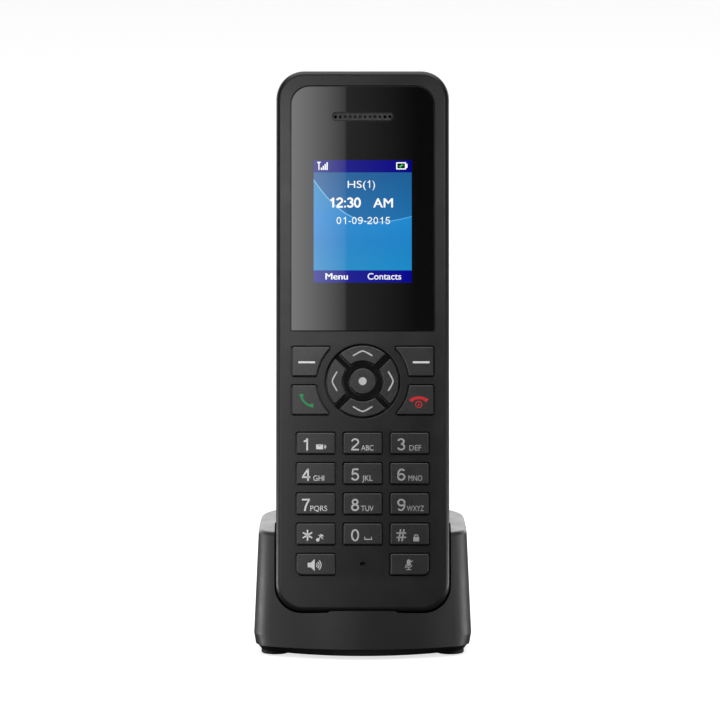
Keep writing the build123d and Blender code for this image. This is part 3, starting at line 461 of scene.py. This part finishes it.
def letters(mesh, text, cap_height, u, baseline, low, high, width=None, weight=0.0):
    """Adds raised lettering: cap height and optional overall width in millimetres."""
    curve = bpy.data.curves.new("letters", "FONT")
    curve.body = text
    curve.offset = weight
    curve.resolution_u = 5
    curve.extrude = 0.5
    holder = bpy.data.objects.new("letters", curve)
    bpy.context.scene.collection.objects.link(holder)
    bpy.context.view_layer.update()
    shape = bpy.data.meshes.new_from_object(holder.evaluated_get(bpy.context.evaluated_depsgraph_get()))
    bpy.data.objects.remove(holder)
    bpy.data.curves.remove(curve)
    across = [vertex.co.x for vertex in shape.vertices]
    scale_v = cap_height / CAP_SHARE
    scale_u = width / (max(across) - min(across)) if width else scale_v
    middle_x = (max(across) + min(across)) / 2
    for vertex in shape.vertices:
        x, y, z = vertex.co
        vertex.co = (u + (x - middle_x) * scale_u, baseline + y * scale_v, high if z > 0 else low)
    mesh.from_mesh(shape)
    bpy.data.meshes.remove(shape)


def finish_piece(mesh, name, body, material):
    """Turns the drawn shapes into an object on the handset face that rides on a body."""
    bmesh.ops.remove_doubles(mesh, verts=mesh.verts, dist=1e-5)
    bmesh.ops.dissolve_degenerate(mesh, edges=mesh.edges, dist=1e-5)
    bmesh.ops.recalc_face_normals(mesh, faces=mesh.faces)
    data = bpy.data.meshes.new(name)
    mesh.to_mesh(data)
    mesh.free()
    data.transform(FACE)
    data.materials.append(material)
    piece = bpy.data.objects.new(name, data)
    bpy.context.scene.collection.objects.link(piece)
    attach(piece, body)


# --------------------------------------------------------------------------
# Key legends
# --------------------------------------------------------------------------
# painted falloff of light: one white ink, painted paler in the left column and darker in the middle and
# right columns, as under light that falls off to the right
WHITE_INK_PAINTED_FALLOFF = {-1: printed("ink_white_left_painted_falloff", grey(0.86)), 0: printed("ink_white_middle_painted_falloff", grey(0.62)),
              1: printed("ink_white_right_painted_falloff", grey(0.42))}
GREEN_INK = printed("ink_green", (0.006, 0.33, 0.1))
RED_INK = printed("ink_red", (0.72, 0.003, 0.003))


def envelope(mesh, u, v, low, high):
    """Message icon: an envelope with a notch, its flap in the notch, and two waves at its right."""
    half, top = 1.05, v + 0.75
    foot = v - 0.75
    notched = [(u - half + 0.35, top), (u, v + 0.1), (u + half - 0.35, top), (u + half, top),
               (u + half, foot), (u - half, foot), (u - half, top)]
    prism(mesh, notched[::-1], low, high)
    prism(mesh, [(u - 0.6, top), (u, v + 0.32), (u + 0.6, top)], low, high)
    for radius in (0.35, 0.7):
        ribbon(mesh, arc(u + half + 0.15, v, radius, -55, 55, 8), 0.22, low, high)


def note(mesh, u, v, low, high):
    """Ringer-off icon: a musical note crossed by a slanted bar."""
    ribbon(mesh, [(u - 0.3, v + 0.85), (u + 1.05, v - 0.35)], 0.24, low, high)
    prism(mesh, circle(u - 0.55, v - 0.65, 0.52), low, high)
    ribbon(mesh, [(u - 0.15, v - 0.5), (u + 0.4, v + 1.15)], 0.26, low, high)
    flag = [(0.3, 1.2), (0.2, 0.45), (1.15, 0.35), (1.1, 0.8)]
    prism(mesh, moved(flag, u, v), low, high)


def space_bar(mesh, u, v, low, high):
    """Space icon: an open bracket lying on its back."""
    prism(mesh, rectangle(u, v - 0.5, 2.3, 0.26), low, high)
    for side in (-1, 1):
        prism(mesh, rectangle(u + side * 1.02, v - 0.08, 0.26, 0.75), low, high)


def padlock(mesh, u, v, low, high):
    """Lock icon: a plain body and a shackle."""
    prism(mesh, rectangle(u, v - 0.45, 1.75, 1.35), low, high)
    ribbon(mesh, arc(u, v + 0.3, 0.52, 0, 180, 12, 1.25), 0.3, low, high)


def loudspeaker(mesh, u, v, low, high):
    """Hands-free icon: a horn with three waves."""
    prism(mesh, rectangle(u - 1.75, v, 0.85, 1.4), low, high)
    horn = [(-1.32, -0.68), (-0.06, -1.8), (-0.06, 1.8), (-1.32, 0.68)]
    prism(mesh, moved(horn, u, v), low, high)
    for radius in (0.66, 1.26, 1.86):
        ribbon(mesh, arc(u, v, radius, -48, 48, 10), 0.28, low, high)


def muted_microphone(mesh, u, v, low, high):
    """Mute icon: a microphone on its stand, crossed by a slanted bar."""
    capsule = arc(u, v + 0.95, 0.62, 0, 180, 12) + arc(u, v + 0.1, 0.62, 180, 360, 12)
    prism(mesh, capsule, low, high)
    ribbon(mesh, arc(u, v + 0.1, 1.0, 190, 350, 14), 0.22, low, high)
    prism(mesh, rectangle(u, v - 1.2, 0.26, 0.55), low, high)
    prism(mesh, rectangle(u, v - 1.55, 1.4, 0.24), low, high)
    ribbon(mesh, [(u - 1.15, v - 1.0), (u + 1.15, v + 1.25)], 0.26, low, high)


ICONS = {"envelope": envelope, "note": note, "space": space_bar, "lock": padlock}
DIGIT_CAP = 3.72
DIGIT_PEN = 0.5
LETTER_CAP = 1.72
DIGIT_BASE = -2.22
# name of the key: (numeral, small letters or icon, width of the letters)
PAD = {
    "key_1": ("1", "envelope", None), "key_2": ("2", "ABC", 3.7), "key_3": ("3", "DEF", 3.6),
    "key_4": ("4", "GHI", 3.3), "key_5": ("5", "JKL", 3.15), "key_6": ("6", "MNO", 4.15),
    "key_7": ("7", "PQRS", 5.1), "key_8": ("8", "TUV", 3.75), "key_9": ("9", "WXYZ", 5.2),
    "key_star": ("", "note", None), "key_0": ("0", "space", None), "key_hash": ("", "lock", None),
}
SIGN_SHIFT = {-1: -2.95, 0: -2.3, 1: -2.5}
SMALL_SHIFT = {-1: 0.9, 0: 1.4, 1: 1.75}


def star_sign(mesh, u, v, low, high):
    """Star: three crossed strokes."""
    for turn in (30, 90, 150):
        prism(mesh, moved(rectangle(0, 0, 3.3, 0.46), u, v, turn), low, high)


def hash_sign(mesh, u, v, low, high):
    """Hash: two slanted and two level strokes."""
    for side in (-0.5, 0.5):
        prism(mesh, moved(rectangle(0, 0, 3.7, 0.42), u + side, v, 80), low, high)
        prism(mesh, rectangle(u, v + 1.3 * side, 2.9, 0.42), low, high)


def key_levels(name):
    """Levels just below and just above a key's top, between which its ink lies."""
    top = key_place(name)[-1]
    return top - INK / 2, top + INK / 2


def pad_legends():
    """Numeral and small sign on each of the twelve keys of the number pad."""
    for name, (sign, small, small_width) in PAD.items():
        u, v, _ = key_place(name)
        low, high = key_levels(name)
        column = (u > 5) - (u < -5)
        mesh = bmesh.new()
        sign_u = u + SIGN_SHIFT[column]
        small_u = u + SMALL_SHIFT[column]
        if sign:
            left = sign_u - DIGIT_HALF * DIGIT_CAP
            digits(mesh, sign, DIGIT_CAP, left, v + DIGIT_BASE, low, high, DIGIT_PEN)
        elif name == "key_star":
            star_sign(mesh, sign_u + 0.45, v - 0.35, low, high)
        else:
            hash_sign(mesh, sign_u, v - 0.35, low, high)
        if small in ICONS:
            ICONS[small](mesh, small_u + 0.25, v + DIGIT_BASE + 1.1, low, high)
        else:
            letters(mesh, small, LETTER_CAP, small_u, v + DIGIT_BASE, low, high, small_width)
        # the column's white ink carries the painted falloff of light, darker towards the right
        finish_piece(mesh, "legend_" + name, name, WHITE_INK_PAINTED_FALLOFF[column])


def chevron(mesh, u, v, turn, low, high):
    """Arrow mark: a shallow bent line with a rounded middle, pointing along turn."""
    half, depth, soft = 2.95, 1.45, 0.22
    points = []
    for step in range(21):
        share = 2 * step / 20 - 1
        bend = (math.hypot(share, soft) - soft) / (math.hypot(1, soft) - soft)
        points.append((depth * (1 - bend), half * share))
    ribbon(mesh, moved(points, u, v, turn), 0.42, low, high)


SOFT_KEY_DASHES = {"soft_key_left": -16.95, "soft_key_right": 17.75}
ARROWS = {"nav_right": 0, "nav_up": 90, "nav_left": 180, "nav_down": 270}
ARROW_REACH = 7.75


def soft_key_dashes():
    """A level dash on each soft key."""
    # the dashes use the left column's white ink, with its painted falloff of light
    for name, u in SOFT_KEY_DASHES.items():
        _, v, _ = key_place(name)
        mesh = bmesh.new()
        prism(mesh, rectangle(u, v - 0.3, 5.1, 0.6), *key_levels(name))
        finish_piece(mesh, "legend_" + name, name, WHITE_INK_PAINTED_FALLOFF[-1])


def arrow_legends(centre_u, centre_v):
    """Four arrow marks round the select key, and the dot on it."""
    # the arrows and the dot use the middle column's white ink, with its painted falloff of light
    for name, turn in ARROWS.items():
        mesh = bmesh.new()
        u, v = moved([(ARROW_REACH, 0)], centre_u, centre_v, turn)[0]
        chevron(mesh, u, v, turn, *key_levels(name))
        finish_piece(mesh, "legend_" + name, name, WHITE_INK_PAINTED_FALLOFF[0])
    mesh = bmesh.new()
    prism(mesh, circle(centre_u, centre_v, 1.2), *key_levels("nav_select"))
    finish_piece(mesh, "legend_nav_select", "nav_select", WHITE_INK_PAINTED_FALLOFF[0])


def call_legends(centre_u, centre_v):
    """Green handset curve on the call key; red curve and power sign on the end key."""
    low, high = key_levels("call_key")
    mesh = bmesh.new()
    ribbon(mesh, arc(centre_u - 15.2, centre_v - 4.1, 3.35, 176, 274, 24), 0.55, low, high, 1.2)
    finish_piece(mesh, "legend_call_key", "call_key", GREEN_INK)

    mesh = bmesh.new()
    end_u = centre_u + 17.05
    power_u, power_v = end_u - 0.05, centre_v - 7.1
    ribbon(mesh, arc(end_u, centre_v - 8.75, 3.7, 133, 47, 24), 0.85, low, high, 1.2)
    ribbon(mesh, arc(power_u, power_v, 0.95, 0, 350, 27), 0.26, low, high, closed=True)
    prism(mesh, rectangle(power_u, power_v, 0.28, 0.95), low, high)
    finish_piece(mesh, "legend_end_key", "end_key", RED_INK)


def bottom_legends():
    """Hands-free and mute icons on the two lowest keys."""
    # the icons use the left and right columns' white inks, with their painted falloff of light
    u, v, _ = key_place("speaker_key")
    mesh = bmesh.new()
    loudspeaker(mesh, u - 0.25, v - 0.2, *key_levels("speaker_key"))
    finish_piece(mesh, "legend_speaker_key", "speaker_key", WHITE_INK_PAINTED_FALLOFF[-1])
    u, v, _ = key_place("mute_key")
    mesh = bmesh.new()
    muted_microphone(mesh, u - 0.25, v - 0.05, *key_levels("mute_key"))
    finish_piece(mesh, "legend_mute_key", "mute_key", WHITE_INK_PAINTED_FALLOFF[1])


pad_legends()
soft_key_dashes()
arrow_legends(*key_place("nav_select")[:2])
call_legends(*key_place("nav_select")[:2])
bottom_legends()

# --------------------------------------------------------------------------
# Display
# --------------------------------------------------------------------------
LENS_TOP = face_box("display_lens")[-1]
SCREEN_WIDTH, SCREEN_HEIGHT = 29.8, 37.5
SCREEN_HALF = SCREEN_WIDTH / 2
SCREEN_MIDDLE = 119.05
SCREEN_LOW = SCREEN_MIDDLE - SCREEN_HEIGHT / 2
SCREEN_HIGH = SCREEN_MIDDLE + SCREEN_HEIGHT / 2
BAR_HEIGHT = 3.75
LAYER = 0.012            # thickness of one layer of the picture
TEXT_LAYER = 5
LINE_STEPS = 48


def up_metres(v):
    """Metres along the handset axis of a height on the face, for gradients."""
    return (FACE_ORIGIN + UP * v * MM).dot(UP)


def srgb(red, green, blue):
    """Linear colour of an 8-bit display colour."""
    def part(value):
        value /= 255
        return value / 12.92 if value <= 0.04045 else ((value + 0.055) / 1.055) ** 2.4
    return (part(red), part(green), part(blue))


def layer_levels(layer):
    """Lower and upper level of a layer of the picture, counted from the window up."""
    return LENS_TOP + LAYER * (layer - 1), LENS_TOP + LAYER * layer


def screen_piece(name, loops, layer, material):
    """A flat area of the picture, of one or more outlines."""
    mesh = bmesh.new()
    for loop in loops:
        prism(mesh, loop, *layer_levels(layer))
    finish_piece(mesh, name, "handset", material)


def swoosh(share):
    """Height on the face of the wallpaper's bright line, at a share of the screen's width."""
    left = SCREEN_HEIGHT - 5.9
    dip = SCREEN_HEIGHT - 19.0
    turn, rest = 0.66, 0.34
    fall = (left - dip) * (1 - min(share / turn, 1.0)) ** 2.3
    rise = 1.8 * max(0.0, (share - turn) / rest) ** 1.6
    return SCREEN_LOW + dip + fall + rise


def plain(name, red, green, blue):
    """Lit area of one colour."""
    colour = srgb(red, green, blue)
    return lit(name, [(0.0, colour), (1.0, colour)], UP, up_metres(SCREEN_LOW), up_metres(SCREEN_HIGH))


def make_wallpaper():
    """Two blue fields, the bright line between them, and the dark bars at the top and bottom."""
    low, high = up_metres(SCREEN_LOW), up_metres(SCREEN_HIGH)
    lower_blues = [(0.1, srgb(24, 138, 196)), (0.33, srgb(28, 130, 198)), (0.52, srgb(32, 136, 206)),
                   (0.8, srgb(48, 140, 190))]
    deep = lit("wallpaper_lower", lower_blues, UP, low, high)
    dark = lit("wallpaper_upper", [(0.4, srgb(28, 114, 176)), (0.9, srgb(28, 94, 150))], UP, low, high)
    line_blues = [(0.0, srgb(140, 205, 245)), (1.0, srgb(70, 160, 225))]
    shine = lit("wallpaper_line", line_blues, RIGHT, -SCREEN_HALF * MM, SCREEN_HALF * MM)
    bars = lit("screen_bars", [(0.0, srgb(4, 2, 140)), (1.0, srgb(2, 0, 128))], UP, low, high)
    screen_piece("screen_wallpaper", [rectangle(0, SCREEN_MIDDLE, SCREEN_WIDTH, SCREEN_HEIGHT)], 1, deep)
    shares = [step / LINE_STEPS for step in range(LINE_STEPS + 1)]
    line = [(-SCREEN_HALF + SCREEN_WIDTH * share, swoosh(share)) for share in shares]
    upper = line + [(SCREEN_HALF, SCREEN_HIGH), (-SCREEN_HALF, SCREEN_HIGH)]
    screen_piece("screen_wallpaper_top", [upper], 2, dark)
    stripe = [(u, v + 0.12) for u, v in line[::-1]] + [(u, v - 0.22) for u, v in line]
    screen_piece("screen_wallpaper_line", [stripe[::-1]], 3, shine)
    bar_rows = [SCREEN_HIGH - BAR_HEIGHT / 2, SCREEN_LOW + BAR_HEIGHT / 2]
    screen_piece("screen_bars", [rectangle(0, v, SCREEN_WIDTH, BAR_HEIGHT) for v in bar_rows], 4, bars)


def screen_words(mesh, base, roof):
    """Handset label, clock, date and the two soft-key words."""
    label_row = SCREEN_HIGH - 8.5
    clock_row = SCREEN_HIGH - 14.5
    date_row = SCREEN_HIGH - 19.6
    soft_row = SCREEN_LOW + 0.95
    letters(mesh, "HS(", 2.3, -1.75, label_row, base, roof, 5.6)
    digits(mesh, "1", 2.3, 1.15, label_row, base, roof, 0.28)
    letters(mesh, ")", 2.3, 3.35, label_row, base, roof)
    digits(mesh, "12:30", 3.0, -10.2, clock_row, base, roof, 0.58, 0.94)
    for nudge in (-0.07, 0.07):
        letters(mesh, "AM", 3.0, 6.2 + nudge, clock_row, base, roof, 5.9)
        letters(mesh, "Menu", 2.05, nudge - 7.9, soft_row, base, roof, 6.7)
    digits(mesh, "01-09-2015", 2.2, -7.95, date_row, base, roof, 0.27, 1.06)
    letters(mesh, "Contacts", 2.05, 6.6, soft_row, base, roof, 10.2, 0.008)


def signal_icon(mesh, u, v, base, roof):
    """Aerial with four rising bars beside it."""
    prism(mesh, rectangle(u, v, 0.32, 2.5), base, roof)
    prism(mesh, moved([(-0.65, 1.25), (0.0, 0.45), (0.65, 1.25)], u, v), base, roof)
    for bar in range(4):
        height = 0.7 + 0.55 * bar
        prism(mesh, rectangle(u + 0.75 + 0.58 * bar, v - 1.25 + height / 2, 0.4, height), base, roof)


def make_screen_marks():
    """The words and icons, and the dark well and green bolt inside the battery icon."""
    icon_row = SCREEN_HIGH - 1.75
    battery_u = 11.7
    levels = layer_levels(TEXT_LAYER)
    mesh = bmesh.new()
    screen_words(mesh, *levels)
    signal_icon(mesh, -13.3, icon_row, *levels)
    prism(mesh, rectangle(battery_u, icon_row, 3.0, 2.2), *levels)
    prism(mesh, rectangle(battery_u + 1.7, icon_row, 0.45, 1.2), *levels)
    text_whites = [(0.0, srgb(250, 253, 255)), (1.0, srgb(255, 255, 255))]
    text = lit("screen_text", text_whites, UP, up_metres(SCREEN_LOW), up_metres(SCREEN_HIGH))
    finish_piece(mesh, "screen_text", "handset", text)
    well = [rectangle(battery_u, icon_row, 2.3, 1.5)]
    screen_piece("screen_battery_well", well, TEXT_LAYER + 1, plain("screen_dark", 10, 16, 30))
    bolt = [(-0.7, -0.1), (-0.05, -0.55), (0.0, -0.15), (0.7, 0.1), (0.05, 0.55), (0.0, 0.15)]
    bolt = [moved(bolt, battery_u, icon_row)]
    screen_piece("screen_battery_bolt", bolt, TEXT_LAYER + 2, plain("screen_green", 60, 220, 90))


make_wallpaper()
make_screen_marks()


# --------------------------------------------------------------------------
# Springs
# --------------------------------------------------------------------------
def make_springs_yield():
    """Gives each charge spring its own copy of its mesh."""
    for side in ("left", "right"):
        spring = "charge_spring_" + side
        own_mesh(bpy.data.objects[spring])


make_springs_yield()


# --------------------------------------------------------------------------
# Studio: floor, room, lamps and camera
# --------------------------------------------------------------------------
def make_floor():
    """White paper floor; it looks white to the camera but throws little light back up."""
    mesh = bmesh.new()
    bmesh.ops.create_circle(mesh, cap_ends=True, segments=96, radius=6.0)
    data = bpy.data.meshes.new("floor")
    mesh.to_mesh(data)
    mesh.free()
    m = Nodes("floor_white")
    seen = m.add("ShaderNodeLightPath").outputs["Is Camera Ray"]
    m.link(m.remap(seen, 0.72, 0.0, 1.0, 0.0), "Emission Strength")
    m.shader.inputs["Emission Color"].default_value = (1, 1, 1, 1)
    m.link(m.ramp(seen, [(0.0, grey(0.08)), (1.0, grey(0.6))]), "Base Color")
    m.shader.inputs["Roughness"].default_value = 0.9
    m.shader.inputs["Specular IOR Level"].default_value = 0.0
    data.materials.append(m.material)
    floor = bpy.data.objects.new("floor", data)
    bpy.context.scene.collection.objects.link(floor)


# reach of the bright end of the room along +Y, and the brightness before and past it
ROOM_START, ROOM_END = 0.45, 0.95
ROOM_FRONT, ROOM_BACK = 0.07, 2.5


def make_world():
    """Soft room: white to the camera; as light it is dim all round and bright straight behind."""
    world = bpy.data.worlds.new("room")
    world.use_nodes = True
    bpy.context.scene.world = world
    tree = world.node_tree
    tree.nodes.clear()
    place = tree.nodes.new("ShaderNodeTexCoord")
    parts = tree.nodes.new("ShaderNodeSeparateXYZ")
    tree.links.new(place.outputs["Generated"], parts.inputs[0])
    depth = tree.nodes.new("ShaderNodeMapRange")
    depth.inputs["From Min"].default_value = ROOM_START
    depth.inputs["From Max"].default_value = ROOM_END
    depth.inputs["To Min"].default_value = ROOM_FRONT
    depth.inputs["To Max"].default_value = ROOM_BACK
    depth.interpolation_type = "SMOOTHSTEP"
    tree.links.new(parts.outputs["Y"], depth.inputs["Value"])
    soft = tree.nodes.new("ShaderNodeBackground")
    soft.inputs["Color"].default_value = (1, 1, 1, 1)
    tree.links.new(depth.outputs["Result"], soft.inputs["Strength"])
    seen = tree.nodes.new("ShaderNodeBackground")
    seen.inputs["Color"].default_value = (1, 1, 1, 1)
    path = tree.nodes.new("ShaderNodeLightPath")
    mix = tree.nodes.new("ShaderNodeMixShader")
    tree.links.new(path.outputs["Is Camera Ray"], mix.inputs["Fac"])
    tree.links.new(soft.outputs[0], mix.inputs[1])
    tree.links.new(seen.outputs[0], mix.inputs[2])
    out = tree.nodes.new("ShaderNodeOutputWorld")
    tree.links.new(mix.outputs[0], out.inputs["Surface"])


def area_light(name, location, target, size, power):
    """Rectangular lamp that the camera doesn't see."""
    data = bpy.data.lights.new(name, "AREA")
    data.shape = "RECTANGLE"
    data.size, data.size_y = size
    data.energy = power
    lamp = bpy.data.objects.new(name, data)
    bpy.context.scene.collection.objects.link(lamp)
    lamp.location = location
    lamp.rotation_mode = "QUATERNION"
    lamp.rotation_quaternion = (Vector(target) - Vector(location)).to_track_quat("-Z", "Y")
    lamp.visible_camera = False


CARD_DISTANCE = 150
CARD_STEP = -5.3
CARD_PEAK = 6.0
# glow across the card, as (position in millimetres, radiance), beside the window and beside the keys
CARD_UPPER = [(-92, 0.05), (-90, 3.6), (-58, 3.6), (-52, 3.3), (-25, 3.3), (-23, 4.6), (CARD_STEP, 1.0),
              (CARD_STEP + 0.1, 0.42), (17, 0.02), (26, 0.02), (30, 1.2), (60, 3.2), (80, 3.2), (92, 0.05)]
CARD_MIDDLE = [(-92, 0.05), (-90, 1.8), (-58, 1.8), (-52, 1.1), (-25, 1.1), (-23, 4.6), (CARD_STEP, 1.0),
               (CARD_STEP + 0.1, 0.42), (17, 0.02), (26, 0.02), (30, 0.4), (60, 1.2), (80, 1.2), (92, 0.05)]
CARD_LOWER = [(-92, 0.05), (-90, 1.9), (-58, 1.9), (-52, 1.9), (-34, 1.8), (-22, 1.1), (-8, 0.28),
              (0, 0.16), (17, 0.08), (26, 0.2), (30, 0.3), (60, 0.45), (80, 0.45), (92, 0.05)]
CARD_BOTTOM, CARD_TOP = -20, 185
CARD_CHANGE = (88, 102)
CARD_RISE = (115, 170)
CARD_FOOT = 0.6


def reflector_card():
    """Near softbox parallel to the handset face; its brightness steps are set for this view."""
    mesh = bmesh.new()
    low, high = CARD_UPPER[0][0], CARD_UPPER[-1][0]
    corners = [(low, CARD_BOTTOM), (high, CARD_BOTTOM), (high, CARD_TOP), (low, CARD_TOP)]
    mesh.faces.new([mesh.verts.new((u, v, CARD_DISTANCE)) for u, v in corners])
    data = bpy.data.meshes.new("softbox_card")
    mesh.to_mesh(data)
    mesh.free()
    m = Nodes("softbox_glow")
    place = m.add("ShaderNodeSeparateXYZ", {0: m.place()})
    across = m.remap(place.outputs["X"], 0.0, 1.0, low, high)
    glows = []
    for profile in (CARD_LOWER, CARD_MIDDLE, CARD_UPPER):
        stops = [((u - low) / (high - low), grey(glow / CARD_PEAK)) for u, glow in profile]
        glows.append(m.ramp(across, stops))
    rise = m.remap(place.outputs["Y"], 0.0, 1.0, *CARD_RISE)
    window = m.add("ShaderNodeMix", {"Factor": rise, 6: glows[1], 7: glows[2]}, data_type="RGBA")
    change = m.remap(place.outputs["Y"], 0.0, 1.0, *CARD_CHANGE)
    mix = m.add("ShaderNodeMix", {"Factor": change, 6: glows[0], 7: window.outputs[2]}, data_type="RGBA")
    level = m.remap(place.outputs["Y"], CARD_FOOT * CARD_PEAK, CARD_PEAK, CARD_BOTTOM, CARD_CHANGE[0])
    glow = m.add("ShaderNodeEmission", {"Color": mix.outputs[2], "Strength": level})
    m.tree.links.new(glow.outputs[0], m.tree.nodes["Material Output"].inputs["Surface"])
    data.materials.append(m.material)
    card = bpy.data.objects.new("softbox_card", data)
    bpy.context.scene.collection.objects.link(card)
    card.matrix_world = FACE
    card.visible_camera = False
    card.visible_shadow = False


PITCH = 8.4
CAMERA_DISTANCE = 3.0
FIELD_WIDTH = 218.4 * MM
SENSOR_WIDTH = 36
CAMERA_TARGET = Vector((-0.81, -9.95, 88.0)) * MM


def make_camera():
    """Camera in front of the object, looking slightly down."""
    data = bpy.data.cameras.new("camera")
    data.sensor_width = SENSOR_WIDTH
    data.lens = SENSOR_WIDTH * CAMERA_DISTANCE / FIELD_WIDTH
    data.clip_end = 30
    camera = bpy.data.objects.new("camera", data)
    bpy.context.scene.collection.objects.link(camera)
    pitch = math.radians(PITCH)
    camera.location = CAMERA_TARGET - CAMERA_DISTANCE * Vector((0, math.cos(pitch), -math.sin(pitch)))
    camera.rotation_euler = (math.pi / 2 - pitch, 0, 0)
    bpy.context.scene.camera = camera


bpy.context.scene.view_settings.view_transform = "Standard"
make_camera()
make_floor()
make_world()
reflector_card()
middle = (0, 0, 0.09)
cradle_level = (0, 0, 0.022)
keypad_level = (0, 0, 0.10)
area_light("overhead_softbox", (0.0, -0.1, 1.3), middle, (1.4, 1.4), 14)
for side, name, share in ((-1, "left", 1.0), (1, "right", 0.85)):
    area_light(name + "_strip", (side * 0.8, 0.45, 0.3), middle, (0.3, 0.9), 1.4 * share)
    area_light(name + "_corner_panel", (side * 0.25, 0, 0.022), cradle_level, (0.12, 0.045), 0.16 * share)
    area_light(name + "_low_panel", (side * 0.25, -0.16, 0.022), cradle_level, (0.2, 0.045), 0.035 * share)
    area_light(name + "_middle_panel", (side * 0.25, -0.15, 0.10), keypad_level, (0.22, 0.1), 0.1 * share)
